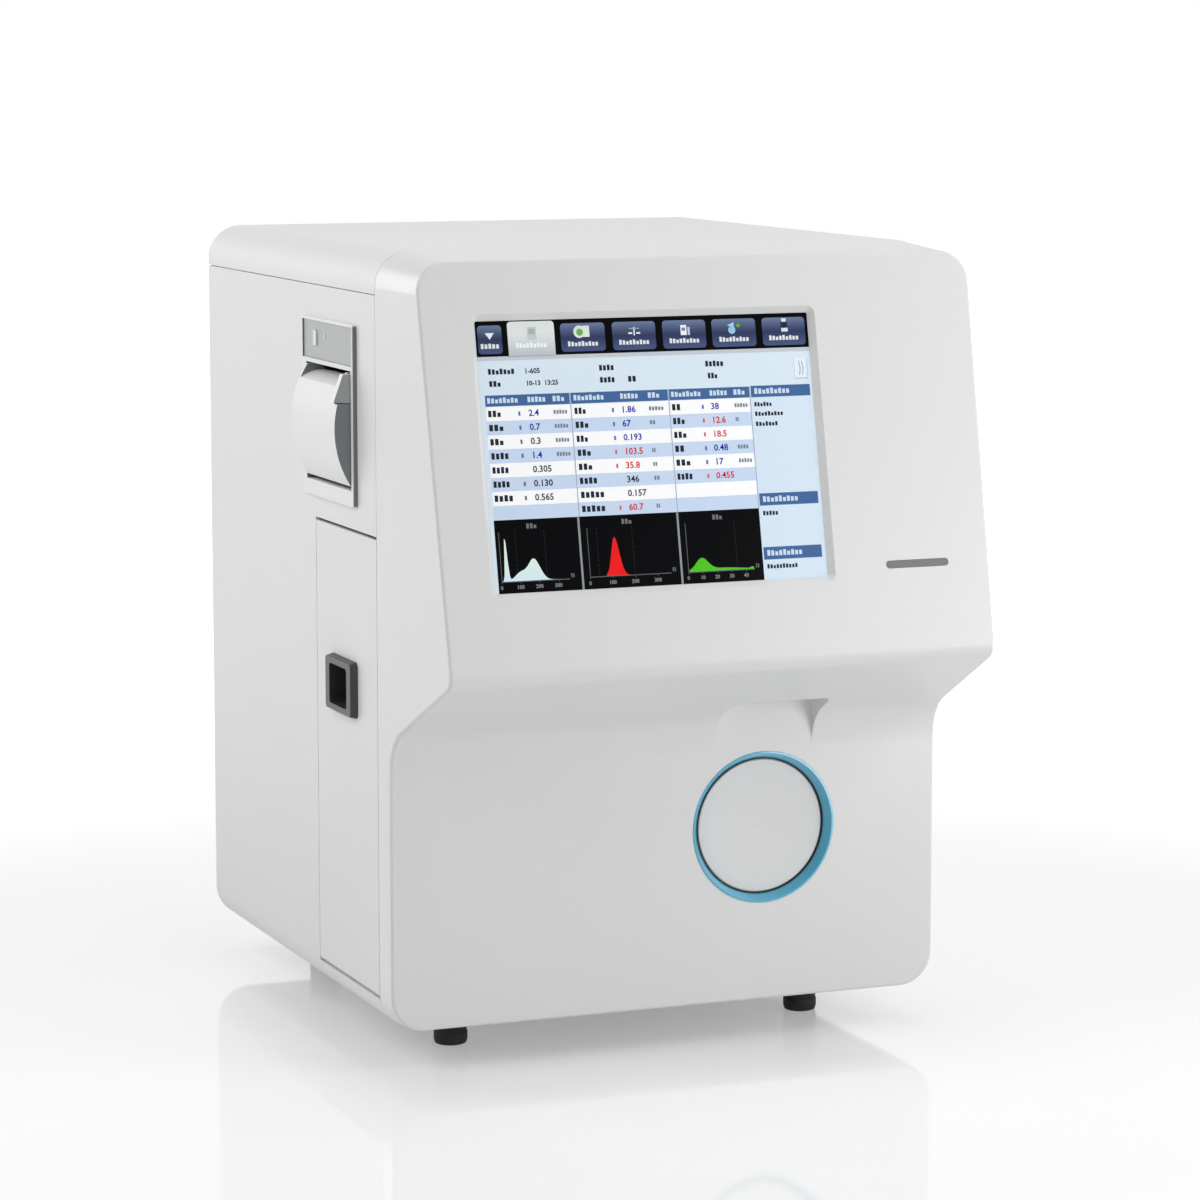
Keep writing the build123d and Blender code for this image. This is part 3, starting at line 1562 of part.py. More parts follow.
# Fan behind a slotted grille in the rear panel
fan_rear = body_depth - rear_panel_thickness
fan_plane = spot(rear_plane(fan_rear), -fan_centre_x, fan_centre_height)
strut_thickness = 4
with BuildPart() as fan_housing:
    with BuildSketch(fan_plane):
        RectangleRounded(fan_size, fan_size, 4)
        Circle(fan_bore / 2, mode=Mode.SUBTRACT)
        with GridLocations(fan_screw_spacing, fan_screw_spacing, 2, 2):
            Circle(fan_screw_diameter / 2, mode=Mode.SUBTRACT)
    extrude(amount=-fan_depth)
    with BuildSketch(fan_plane.offset(-fan_depth)):
        Rectangle(fan_bore + 1, strut_thickness)
        Rectangle(strut_thickness, fan_bore + 1)
        Circle(fan_hub_diameter / 2)
        Circle(fan_shaft_diameter / 2 + rod_clearance, mode=Mode.SUBTRACT)
    extrude(amount=strut_thickness)
finish(fan_housing, "fan_housing")

hub_front = strut_thickness + fan_hub_gap - fan_depth
with BuildPart() as fan_rotor:
    with BuildSketch(fan_plane.offset(hub_front)):
        Circle(fan_hub_diameter / 2)
    extrude(amount=-hub_front - 2)
    for index in range(fan_blade_count):
        turn = Rotation(0, 0, 360 * index / fan_blade_count)
        blade_middle = Location((0, 0, (hub_front - 2) / 2))
        blade_root = Plane(fan_plane.location * turn * blade_middle * Rotation(0, 90, 0))
        with BuildSketch(blade_root.offset(fan_hub_diameter / 2 - fan_blade_overlap)):
            Rectangle(fan_blade_chord, fan_blade_thickness, rotation=90 - fan_blade_pitch)
        extrude(amount=fan_bore / 2 - fan_hub_diameter / 2 + fan_blade_overlap)
    with BuildSketch(fan_plane.offset(-fan_depth)):
        Circle(fan_bore / 2 - fan_tip_gap)
    extrude(amount=fan_depth, mode=Mode.INTERSECT)
    with BuildSketch(fan_plane.offset(-fan_depth)):
        Circle(fan_shaft_diameter / 2)
    extrude(amount=fan_depth + hub_front)
finish(fan_rotor, "fan_rotor")

# Mains inlet with a rocker switch beside its socket
inlet_plane = spot(rear_plane(body_depth), -inlet_centre_x, inlet_centre_height)
socket_at = (-inlet_width / 2 + socket_width / 2 + 4, 0)
rocker_at = (inlet_width / 2 - rocker_width / 2 - 4, 0)
inlet_body_width = inlet_width - 3
rocker_x = inlet_centre_x - rocker_at[0]
rocker_axle_y = body_depth + inlet_flange - rocker_axle_depth
inlet_body_height = inlet_height - 3
with BuildPart() as mains_inlet:
    with BuildSketch(inlet_plane):
        RectangleRounded(inlet_width, inlet_height, 2)
    extrude(amount=inlet_flange)
    with BuildSketch(inlet_plane):
        RectangleRounded(inlet_body_width, inlet_body_height, 1)
    extrude(amount=-inlet_depth)
    with BuildSketch(inlet_plane.offset(inlet_flange)):
        with Locations(socket_at):
            RectangleRounded(socket_width, socket_height, 2)
    extrude(amount=-socket_depth, mode=Mode.SUBTRACT)
    with BuildSketch(inlet_plane.offset(inlet_flange)):
        with Locations(rocker_at):
            Rectangle(rocker_width + 2 * rocker_side_gap, rocker_height + 2 * rocker_end_gap)
    extrude(amount=-socket_depth, mode=Mode.SUBTRACT)
    with BuildSketch(inlet_plane.offset(inlet_flange - socket_depth)):
        with Locations(socket_at):
            with Locations(
                (-inlet_pin_pitch, -inlet_pin_low), (inlet_pin_pitch, -inlet_pin_low), (0, inlet_pin_high)
            ):
                Rectangle(inlet_pin_width, inlet_pin_height)
    extrude(amount=socket_depth - inlet_pin_floor)
    # Bearing for the rocker's axle
    with BuildSketch(side_plane(rocker_x - rocker_width / 2 - axle_stub)):
        with Locations((rocker_axle_y, inlet_centre_height)):
            Circle(rocker_axle_diameter / 2 + rod_clearance)
    extrude(amount=rocker_width + 2 * axle_stub, mode=Mode.SUBTRACT)
finish(mains_inlet, "mains_inlet")

with BuildPart() as power_switch:
    with BuildSketch(side_plane(rocker_x - rocker_width / 2)):
        with BuildLine():
            ends = []
            for along, out in (
                (-rocker_height / 2, rocker_proud),
                (0, rocker_proud - rocker_dip),
                (rocker_height / 2, rocker_proud),
                (rocker_height / 2, rocker_proud - rocker_thickness),
                (-rocker_height / 2, rocker_proud - rocker_thickness),
            ):
                ends.append(
                    (
                        rocker_axle_y + out * cos(radians(rocker_tilt)) - along * sin(radians(rocker_tilt)),
                        inlet_centre_height + along * cos(radians(rocker_tilt))
                        + out * sin(radians(rocker_tilt)),
                    )
                )
            Polyline(*ends, close=True)
        make_face()
    extrude(amount=rocker_width)
    with BuildSketch(side_plane(rocker_x - rocker_width / 2 - axle_stub + flat_gap)):
        with Locations((rocker_axle_y, inlet_centre_height)):
            Circle(rocker_axle_diameter / 2)
    extrude(amount=rocker_width + 2 * axle_stub - 2 * flat_gap)
finish(power_switch, "power_switch")

# Four fluid connectors in a row: a hexagon, a tail outside and a threaded end inside
port_xs = [fluid_port_start_x + index * fluid_port_pitch for index in range(fluid_port_count)]
port_places = [(-x, fluid_port_height) for x in port_xs]
with BuildPart() as fluid_ports:
    with BuildSketch(rear_plane(body_depth)):
        with Locations(*port_places):
            RegularPolygon(fluid_port_base / 2, 6)
    extrude(amount=fluid_port_base_length)
    with BuildSketch(rear_plane(body_depth + fluid_port_base_length)):
        with Locations(*port_places):
            Circle(fluid_port_diameter / 2)
    extrude(amount=fluid_port_length)
    with BuildSketch(rear_plane(body_depth)):
        with Locations(*port_places):
            Circle(fluid_port_thread / 2)
    extrude(amount=-fluid_port_inner)
    with BuildSketch(rear_plane(body_depth - fluid_port_inner)):
        with Locations(*port_places):
            Circle(fluid_port_bore / 2)
    extrude(amount=fluid_port_inner + rear_reach, mode=Mode.SUBTRACT)
finish(fluid_ports, "fluid_ports")

# Rear panel: closes the sleeve, with a grille for the fan and holes for the ports
with BuildPart() as rear_panel:
    with BuildSketch(rear_plane(body_depth - rear_panel_thickness)):
        with Locations((0, foot_height + body_height / 2)):
            RectangleRounded(sleeve_width, sleeve_height, sleeve_radius)
        with Locations((0, foot_height + tray_thickness)):
            Rectangle(tray_width, 2 * tray_thickness)
        with Locations((-inlet_centre_x, inlet_centre_height)):
            Rectangle(
                inlet_body_width + port_fit_gap, inlet_body_height + port_fit_gap, mode=Mode.SUBTRACT
            )
        with Locations(*port_places):
            Circle(fluid_port_thread / 2 + rod_clearance, mode=Mode.SUBTRACT)
        for height in usb_places:
            with Locations((-port_x, height)):
                Rectangle(
                    usb_shell_width + 2 * port_fit_gap,
                    usb_shell_height + 2 * port_fit_gap,
                    mode=Mode.SUBTRACT,
                )
        with Locations((-network_x, network_z)):
            Rectangle(
                network_width + 2 * port_fit_gap, network_height + 2 * port_fit_gap, mode=Mode.SUBTRACT
            )
        # Grille: upright slots that fill the fan's circle
        for column in range(-grille_columns, grille_columns + 1):
            across = column * (grille_slot + grille_bar)
            half = sqrt((fan_bore / 2 - grille_bar) ** 2 - across**2)
            if column == 0:
                rows = ((half + fan_hub_diameter / 2) / 2, half - fan_hub_diameter / 2)
                spots = ((0, rows[0]), (0, -rows[0]))
                long = rows[1]
            else:
                spots = ((0, (half + grille_bar) / 2), (0, -(half + grille_bar) / 2))
                long = half - grille_bar
            with Locations((-fan_centre_x + across, fan_centre_height)):
                with Locations(*spots):
                    SlotOverall(long, grille_slot, rotation=90, mode=Mode.SUBTRACT)
    extrude(amount=rear_panel_thickness)
finish(rear_panel, "rear_panel")

screw_x = side_edge_x + screw_edge_inset
with BuildPart() as rear_screws:
    with BuildSketch(rear_plane(body_depth)):
        with Locations((0, foot_height + body_height / 2)):
            with GridLocations(2 * screw_x, (body_height - 2 * corner_radius) / 2 - screw_edge_inset, 2, 3):
                Circle(screw_head_diameter / 2)
    extrude(amount=screw_head_height)
    fillet(rear_screws.edges().filter_by(GeomType.CIRCLE).group_by(Axis.Y)[-1], screw_edge_radius)
finish(rear_screws, "rear_screws")
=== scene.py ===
import math

import bpy
from mathutils import Matrix, Vector


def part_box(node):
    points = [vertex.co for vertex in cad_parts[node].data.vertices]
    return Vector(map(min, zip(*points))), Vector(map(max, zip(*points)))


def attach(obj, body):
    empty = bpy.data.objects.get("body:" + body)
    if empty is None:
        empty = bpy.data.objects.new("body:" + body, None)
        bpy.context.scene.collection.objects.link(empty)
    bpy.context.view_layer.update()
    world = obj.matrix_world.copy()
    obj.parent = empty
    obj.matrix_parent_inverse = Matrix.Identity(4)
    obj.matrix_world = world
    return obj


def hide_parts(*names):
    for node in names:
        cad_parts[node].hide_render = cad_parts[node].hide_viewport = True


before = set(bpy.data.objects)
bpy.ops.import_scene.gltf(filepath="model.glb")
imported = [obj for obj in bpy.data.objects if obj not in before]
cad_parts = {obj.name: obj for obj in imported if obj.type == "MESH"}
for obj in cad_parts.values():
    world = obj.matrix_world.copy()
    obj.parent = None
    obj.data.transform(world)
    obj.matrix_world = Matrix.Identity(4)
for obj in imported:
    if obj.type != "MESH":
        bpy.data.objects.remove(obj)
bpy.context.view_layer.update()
print("frame loaded,", len(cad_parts), "CAD nodes")

# Places on the body, in millimetres: X from its middle, Y behind the front cover's seam, Z from the table
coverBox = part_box("top_cover")
bodyMiddle = (coverBox[0].x + coverBox[1].x) / 2
seamDepth = coverBox[0].y - 0.0004
mm = 0.001
rearFace = 276


def place(x, y, z):
    return Vector((bodyMiddle + x * mm, seamDepth + y * mm, z * mm))


# The display face leans back by 12 degrees from the crease under the top edge
faceTilt = math.radians(12)
creaseSetback = 48.5
creaseHeight = 395


def faceMatrix(x, height, out=0.0):
    setback = creaseSetback + (creaseHeight - height) * math.tan(faceTilt)
    normal = Vector((0, -math.cos(faceTilt), math.sin(faceTilt)))
    upward = Vector((0, math.sin(faceTilt), math.cos(faceTilt)))
    origin = place(x, -setback, height) + normal * out * mm
    turned = Matrix((Vector((1, 0, 0)), upward, normal)).transposed().to_4x4()
    return Matrix.Translation(origin) @ turned @ Matrix.Scale(mm, 4)


def newGroup(name, inputs, outputs):
    group = bpy.data.node_groups.new(name, "ShaderNodeTree")
    for label, kind, value in inputs:
        socket = group.interface.new_socket(name=label, in_out="INPUT", socket_type=kind)
        socket.default_value = value
    for label, kind in outputs:
        group.interface.new_socket(name=label, in_out="OUTPUT", socket_type=kind)
    start = group.nodes.new("NodeGroupInput")
    end = group.nodes.new("NodeGroupOutput")
    return group, group.nodes, group.links, start, end


def addMath(nodes, links, operation, first, second):
    node = nodes.new("ShaderNodeMath")
    node.operation = operation
    for socket, value in zip(node.inputs, (first, second)):
        if isinstance(value, (int, float)):
            socket.default_value = value
        else:
            links.new(value, socket)
    return node.outputs[0]


floatSocket, colourSocket, vectorSocket = "NodeSocketFloat", "NodeSocketColor", "NodeSocketVector"

# Moulded surface: slow change of shade, a fine spark-eroded grain, and a little unevenness in the gloss
mouldLook = dict(grainDetail=2, cloudScale=9, cloudDetail=3, smearScale=38, smearDetail=4, bumpDepth=0.0001)
mouldGroup, nodes, links, start, end = newGroup(
    "mouldedSurface",
    [
        ("Colour", colourSocket, (0.8, 0.8, 0.8, 1)),
        ("Shade", floatSocket, 0.03),
        ("Roughness", floatSocket, 0.4),
        ("Spread", floatSocket, 0.08),
        ("Grain Size", floatSocket, 0.5),
        ("Grain", floatSocket, 0.15),
        ("Stretch", vectorSocket, (1, 1, 1)),
    ],
    [("Colour", colourSocket), ("Roughness", floatSocket), ("Normal", vectorSocket)],
)
coords = nodes.new("ShaderNodeTexCoord")
stretch = nodes.new("ShaderNodeVectorMath")
stretch.operation = "MULTIPLY"
links.new(coords.outputs["Object"], stretch.inputs[0])
links.new(start.outputs["Stretch"], stretch.inputs[1])
grainScale = addMath(nodes, links, "DIVIDE", 1000, start.outputs["Grain Size"])
grain = nodes.new("ShaderNodeTexNoise")
grain.inputs["Detail"].default_value = mouldLook["grainDetail"]
links.new(stretch.outputs[0], grain.inputs["Vector"])
links.new(grainScale, grain.inputs["Scale"])
cloud = nodes.new("ShaderNodeTexNoise")
cloud.inputs["Scale"].default_value = mouldLook["cloudScale"]
cloud.inputs["Detail"].default_value = mouldLook["cloudDetail"]
links.new(coords.outputs["Object"], cloud.inputs["Vector"])
smear = nodes.new("ShaderNodeTexNoise")
smear.inputs["Scale"].default_value = mouldLook["smearScale"]
smear.inputs["Detail"].default_value = mouldLook["smearDetail"]
links.new(coords.outputs["Object"], smear.inputs["Vector"])
lift = addMath(nodes, links, "SUBTRACT", cloud.outputs["Fac"], 0.5)
lift = addMath(nodes, links, "MULTIPLY", lift, start.outputs["Shade"])
speck = addMath(nodes, links, "SUBTRACT", grain.outputs["Fac"], 0.5)
speck = addMath(nodes, links, "MULTIPLY", speck, start.outputs["Shade"])
lift = addMath(nodes, links, "ADD", lift, speck)
lift = addMath(nodes, links, "ADD", lift, 1)
tone = nodes.new("ShaderNodeVectorMath")
tone.operation = "SCALE"
links.new(start.outputs["Colour"], tone.inputs[0])
links.new(lift, tone.inputs["Scale"])
links.new(tone.outputs[0], end.inputs["Colour"])
gloss = addMath(nodes, links, "SUBTRACT", smear.outputs["Fac"], 0.5)
gloss = addMath(nodes, links, "MULTIPLY", gloss, start.outputs["Spread"])
gloss = addMath(nodes, links, "ADD", gloss, start.outputs["Roughness"])
links.new(gloss, end.inputs["Roughness"])
bump = nodes.new("ShaderNodeBump")
bump.inputs["Distance"].default_value = mouldLook["bumpDepth"]
links.new(start.outputs["Grain"], bump.inputs["Strength"])
links.new(grain.outputs["Fac"], bump.inputs["Height"])
links.new(bump.outputs[0], end.inputs["Normal"])


def srgb(red, green, blue):
    linear = []
    for value in (red, green, blue):
        share = value / 255
        linear.append(share / 12.92 if share <= 0.04045 else ((share + 0.055) / 1.055) ** 2.4)
    return (*linear, 1)


def newMaterial(name):
    material = bpy.data.materials.new(name)
    material.use_nodes = True
    return material, material.node_tree.nodes, material.node_tree.links


# Mask of the faces that look to the front, from the piece's own normals; it marks where painted shade goes
frontShadeGroup, nodes, links, start, end = newGroup("frontShadeMask", [("Low", floatSocket, 0.6)], [("Mask", floatSocket)])
ownNormal = nodes.new("ShaderNodeTexCoord")
parts = nodes.new("ShaderNodeSeparateXYZ")
links.new(ownNormal.outputs["Normal"], parts.inputs[0])
toFront = addMath(nodes, links, "MULTIPLY", parts.outputs["Y"], -1)
steep = nodes.new("ShaderNodeMapRange")
steep.inputs["From Max"].default_value = 0.9
links.new(start.outputs["Low"], steep.inputs["From Min"])
links.new(toFront, steep.inputs["Value"])
links.new(steep.outputs[0], end.inputs["Mask"])


def surfaceMaterial(name, look):
    material, nodes, links = newMaterial(name)
    shader = nodes["Principled BSDF"]
    surface = nodes.new("ShaderNodeGroup")
    surface.node_tree = mouldGroup
    surface.inputs["Colour"].default_value = srgb(*look["colour"])
    for label, key in (
        ("Shade", "shade"), ("Roughness", "rough"), ("Spread", "spread"),
        ("Grain Size", "grainSize"), ("Grain", "grain"), ("Stretch", "stretch"),
    ):
        if key in look:
            surface.inputs[label].default_value = look[key]
    links.new(surface.outputs["Colour"], shader.inputs["Base Color"])
    # Painted shade: with a front colour, the faces that look to the front take that darker colour, as if in shadow
    if "front" in look:
        mask = nodes.new("ShaderNodeGroup")
        mask.node_tree = frontShadeGroup
        darker = nodes.new("ShaderNodeMix")
        darker.data_type = "RGBA"
        links.new(mask.outputs["Mask"], darker.inputs["Factor"])
        links.new(surface.outputs["Colour"], darker.inputs["A"])
        darker.inputs["B"].default_value = srgb(*look["front"])
        links.new(darker.outputs["Result"], shader.inputs["Base Color"])
    links.new(surface.outputs["Roughness"], shader.inputs["Roughness"])
    links.new(surface.outputs["Normal"], shader.inputs["Normal"])
    for label, key in (
        ("Metallic", "metal"), ("Coat Weight", "coat"), ("Coat Roughness", "coatRough"),
        ("Transmission Weight", "clear"), ("IOR", "bend"), ("Specular IOR Level", "specular"),
        ("Subsurface Weight", "milky"), ("Emission Strength", "glow"),
    ):
        if key in look:
            shader.inputs[label].default_value = look[key]
    if "milky" in look:
        shader.inputs["Subsurface Radius"].default_value = (0.004, 0.0035, 0.003)
        shader.inputs["Subsurface Scale"].default_value = 1
    if "glow" in look:
        shader.inputs["Emission Color"].default_value = srgb(*look["colour"])
    return material


# Finishes, by the record's material slots. Grain sizes are in millimetres
finishes = {
    "shell_white": dict(colour=(225, 225, 225), shade=0.02, rough=0.3, spread=0.06, grainSize=0.5, grain=0.22),
    "panel_white": dict(colour=(231, 231, 231), shade=0.02, rough=0.46, spread=0.06, grainSize=0.6, grain=0.25),
    "screen_glass": dict(colour=(14, 15, 18), shade=0, rough=0.08, spread=0.02, grain=0, coat=1, coatRough=0.03),
    "module_metal": dict(colour=(150, 152, 154), shade=0.05, rough=0.35, metal=1, grainSize=0.8, grain=0.1,
                         stretch=(1, 12, 12)),
    "lens_grey": dict(colour=(80, 84, 88), shade=0.02, rough=0.3, coat=0.2, coatRough=0.1, grain=0.02),
    "ring_blue": dict(colour=(88, 180, 212), shade=0.03, rough=0.2, spread=0.05, coat=0.6, coatRough=0.08,
                      grain=0.03),
    "button_white": dict(colour=(222, 222, 222), shade=0.02, rough=0.36, grainSize=0.4, grain=0.15),
    "inner_plastic": dict(colour=(170, 172, 172), shade=0.05, rough=0.55, grainSize=0.9, grain=0.3),
    "foot_rubber": dict(colour=(26, 26, 27), shade=0.15, rough=0.75, spread=0.15, grainSize=0.7, grain=0.5),
    "tray_steel": dict(colour=(196, 197, 198), shade=0.06, rough=0.5, grainSize=1.2, grain=0.3),
    "zinc_steel": dict(colour=(168, 172, 176), shade=0.12, rough=0.38, spread=0.2, metal=1, grainSize=5, grain=0.06),
    "rod_steel": dict(colour=(196, 198, 202), shade=0.04, rough=0.16, spread=0.05, metal=1, grainSize=0.3,
                      grain=0.04, stretch=(4, 1, 4)),
    "pull_black": dict(colour=(38, 39, 42), shade=0.08, rough=0.45, grainSize=0.45, grain=0.3),
    "magnet_grey": dict(colour=(84, 86, 88), shade=0.1, rough=0.5, grainSize=1, grain=0.3),
    "bottle_white": dict(colour=(222, 224, 220), shade=0.03, rough=0.35, milky=0.3, grainSize=3, grain=0.1),
    "cap_blue": dict(colour=(40, 92, 168), shade=0.06, rough=0.38, grainSize=0.5, grain=0.15),
    "printer_white": dict(colour=(214, 215, 214), shade=0.02, rough=0.42, grainSize=0.5, grain=0.2),
    "printer_grey": dict(colour=(172, 175, 175), shade=0.04, rough=0.45, grainSize=0.5, grain=0.25),
    "printer_dark": dict(colour=(96, 99, 103), shade=0.06, rough=0.45, grainSize=0.5, grain=0.25),
    "led_green": dict(colour=(150, 168, 150), shade=0.03, rough=0.2, coat=0.5, glow=0.15),
    "roller_rubber": dict(colour=(30, 30, 31), shade=0.1, rough=0.7, grainSize=0.6, grain=0.4),
    "paper": dict(colour=(240, 239, 234), shade=0.03, rough=0.8, grainSize=0.3, grain=0.25),
    "clear_acrylic": dict(colour=(236, 240, 242), shade=0, rough=0.06, spread=0.03, clear=0.85, bend=1.49, grain=0),
    "board_green": dict(colour=(22, 78, 52), shade=0.15, rough=0.32, coat=0.4, grainSize=1.5, grain=0.1),
    "motor_black": dict(colour=(34, 35, 37), shade=0.08, rough=0.5, grainSize=0.8, grain=0.25),
    "syringe_glass": dict(colour=(232, 238, 240), shade=0, rough=0.04, spread=0.02, clear=0.9, bend=1.5, grain=0),
    "inlet_black": dict(colour=(24, 24, 26), shade=0.06, rough=0.42, grainSize=0.4, grain=0.2),
    "rocker_black": dict(colour=(30, 30, 32), shade=0.05, rough=0.3, grainSize=0.4, grain=0.1),
    "port_steel": dict(colour=(188, 186, 178), shade=0.08, rough=0.28, spread=0.1, metal=1, grainSize=0.6,
                       grain=0.05),
}
materials = {slot: surfaceMaterial(slot, look) for slot, look in finishes.items()}
for name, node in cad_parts.items():
    for holder in node.material_slots:
        slot = holder.material.name.split(".")[0] if holder.material else ""
        if slot in materials:
            holder.material = materials[slot]
        else:
            print("no finish for", name, slot)

# Painted shade on the printer's frame, cover and lever: their faces that look to the front are painted dark grey, as in
# shadow; their other faces are a paler white than printer_white
printerShadedLooks = {
    "printer_bezel": dict(finishes["printer_white"], colour=(232, 233, 232), front=(112, 116, 118)),
    "paper_cover": dict(finishes["printer_white"], colour=(232, 233, 232), front=(124, 130, 133)),
    "cover_lever": dict(finishes["printer_white"], colour=(238, 239, 239), front=(166, 170, 171)),
}
for name, look in printerShadedLooks.items():
    shadedMaterial = surfaceMaterial(name + "PaintedShade", look)
    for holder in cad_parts[name].material_slots:
        holder.material = shadedMaterial
print("finishes on the CAD nodes")


def clearSelection():
    if bpy.context.object and bpy.context.object.mode != "OBJECT":
        bpy.ops.object.mode_set(mode="OBJECT")
    bpy.ops.object.select_all(action="DESELECT")


def choose(*pieces):
    clearSelection()
    for piece in pieces:
        piece.select_set(True)
    bpy.context.view_layer.objects.active = pieces[0]


def applyPlace(piece):
    choose(piece)
    bpy.ops.object.transform_apply(location=True, rotation=True, scale=True)


def joinPieces(name, pieces):
    choose(*pieces)
    bpy.ops.object.join()
    piece = bpy.context.object
    piece.name = name
    return piece


def dress(piece, material, body, slot, *nodes):
    piece.data.materials.clear()
    piece.data.materials.append(material)
    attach(piece, body)
    if nodes:
        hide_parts(*nodes)
    return piece


# Display picture: flat cells in the screen's own plane, X right and Y down from its top left corner,
# as shares of its width and height. Every face keeps its colour in the paint attribute
screen = dict(
    width=170.4, height=127.8, x=-29.5, z=305, sunk=2.94, layer=0.012, glow=0.12, rough=0.14, specular=0.04,
    black=(6, 7, 9), strip=(196, 202, 210), info=(216, 232, 243), rowBlue=(200, 217, 240), rowWhite=(252, 253, 254),
    header=(70, 105, 155), headerWord=(206, 220, 238), word=(40, 46, 56), faint=(120, 130, 142),
    low=(40, 36, 168), high=(212, 28, 44), line=(150, 168, 196), message=(213, 229, 244),
    tabTop=(112, 126, 160), tabMiddle=(52, 62, 94), tabEnd=(76, 88, 128), activeTop=(226, 232, 230),
    activeEnd=(186, 192, 202), axis=(92, 96, 98), dash=(44, 46, 46), white=(240, 244, 248),
    red=(236, 36, 38), green=(84, 196, 42), cream=(232, 244, 216), ice=(214, 236, 246), split=(150, 153, 155),
    keyEdge=(178, 192, 204), keyFace=(228, 238, 244), keyMark=(160, 176, 190), markWord=(126, 130, 132),
    fieldWord=(110, 114, 116), unitWord=(96, 100, 102), caption=(224, 228, 232), activeCaption=(246, 248, 248),
)
cells = []


def screenPoint(x, y, layer):
    return Vector((x * screen["width"], -y * screen["height"], layer * screen["layer"]))


def addCell(left, top, right, bottom, colour, layer=1):
    cells.append((left, top, right, bottom, colour, layer))


def addWord(left, middle, right, height, colour):
    width = right - left
    count = max(2, round(width / (height * 0.48)))
    step = width / count
    for i in range(count):
        rise = height * (0.5 if i in (0, count // 2) else 0.34 + 0.1 * math.sin(i * 2.3))
        addCell(left + i * step, middle - rise, left + (i + 0.72) * step, middle + height * 0.34, colour, 4)


def paint(piece, colourOf):
    attribute = piece.data.color_attributes.new("paint", "FLOAT_COLOR", "CORNER")
    for face in piece.data.polygons:
        for corner in face.loop_indices:
            at = piece.data.vertices[piece.data.loops[corner].vertex_index].co
            attribute.data[corner].color = srgb(*colourOf(face, at))
    return piece


def blendColours(first, second, share):
    return tuple(a + (b - a) * share for a, b in zip(first, second))


def buildCells(name):
    clearSelection()
    bpy.ops.mesh.primitive_plane_add(size=1)
    sheet = bpy.context.object
    sheet.name = name
    bpy.ops.object.mode_set(mode="EDIT")
    bpy.ops.mesh.delete(type="VERT")
    for left, top, right, bottom, _, layer in cells:
        centre = screenPoint((left + right) / 2, (top + bottom) / 2, layer)
        bpy.ops.mesh.primitive_plane_add(size=1, location=centre)
        size = ((right - left) * screen["width"], (bottom - top) * screen["height"], 1)
        bpy.ops.transform.resize(value=size, center_override=centre)
    bpy.ops.object.mode_set(mode="OBJECT")
    return paint(sheet, lambda face, at: cells[face.index][4])


def addTab(left, right, top, bottom, active):
    centre = screenPoint((left + right) / 2, (top + bottom) / 2, 2)
    clearSelection()
    bpy.ops.mesh.primitive_plane_add(size=1, location=centre)
    tab = bpy.context.object
    tab.scale = ((right - left) * screen["width"], (bottom - top) * screen["height"], 1)
    applyPlace(tab)
    bpy.ops.object.mode_set(mode="EDIT")
    bpy.ops.mesh.select_all(action="SELECT")
    bpy.ops.mesh.subdivide(number_cuts=5)
    bpy.ops.mesh.select_all(action="DESELECT")
    bpy.ops.object.mode_set(mode="OBJECT")
    across = [point.co.x for point in tab.data.vertices]
    along = [point.co.y for point in tab.data.vertices]
    lowX, highX, lowY, highY = min(across), max(across), min(along), max(along)
    for corner in tab.data.vertices:
        atSide = min(corner.co.x - lowX, highX - corner.co.x) < 0.01
        atTop = highY - corner.co.y < 0.01
        atFoot = not active and corner.co.y - lowY < 0.01
        corner.select = atSide and (atTop or atFoot)
    bpy.ops.object.mode_set(mode="EDIT")
    bpy.ops.mesh.select_mode(type="VERT")
    bpy.ops.mesh.bevel(offset=1.7, segments=4, affect="VERTICES")
    bpy.ops.object.mode_set(mode="OBJECT")

    def tabColour(face, at):
        share = (highY - at.y) / (highY - lowY)
        if active:
            return blendColours(screen["activeTop"], screen["activeEnd"], max(0, share * 1.6 - 0.6))
        if share < 0.5:
            return blendColours(screen["tabTop"], screen["tabMiddle"], share * 2)
        return blendColours(screen["tabMiddle"], screen["tabEnd"], share * 2 - 1)

    return paint(tab, tabColour)


def addShape(x, y, radius, sides, colour, layer, turn, squash):
    clearSelection()
    bpy.ops.mesh.primitive_circle_add(
        vertices=sides, radius=radius, fill_type="NGON", location=screenPoint(x, y, layer), rotation=(0, 0, turn)
    )
    shape = bpy.context.object
    shape.scale = (1, squash, 1)
    applyPlace(shape)
    return paint(shape, lambda face, at: colour)


def addNumber(words, left, middle, size, colour):
    clearSelection()
    bpy.ops.object.text_add(location=screenPoint(left, middle, 5))
    number = bpy.context.object
    number.data.body = words
    number.data.size = size
    number.data.resolution_u = 2
    number.data.offset = 0.09
    number.data.align_y = "CENTER"
    bpy.ops.object.convert(target="MESH")
    number = bpy.context.object
    applyPlace(number)
    return paint(number, lambda face, at: colour)


def addCurve(left, right, base, heights, colour, lowColour):
    clearSelection()
    bpy.ops.mesh.primitive_grid_add(x_subdivisions=len(heights) - 1, y_subdivisions=1, size=1)
    hill = bpy.context.object
    for point in hill.data.vertices:
        share = point.co.x + 0.5
        column = min(len(heights) - 1, max(0, round(share * (len(heights) - 1))))
        up = heights[column] if point.co.y > 0 else 0
        point.co = screenPoint(left + (right - left) * share, base - up, 4)
    low = min(point.co.y for point in hill.data.vertices)
    high = max(point.co.y for point in hill.data.vertices)
    return paint(hill, lambda face, at: blendColours(lowColour, colour, (at.y - low) / (high - low)))


# Grounds of the tab strip, the sample lines, the curves and the messages
addCell(0, 0, 1, 0.132, screen["black"])
addCell(0, 0.131, 1, 0.146, screen["strip"], 2)
addCell(0, 0.145, 1, 1, screen["info"], 1)
addCell(0.012, 0.731, 0.805, 1, screen["black"], 2)
addCell(0.807, 0.314, 0.994, 1, screen["message"], 2)
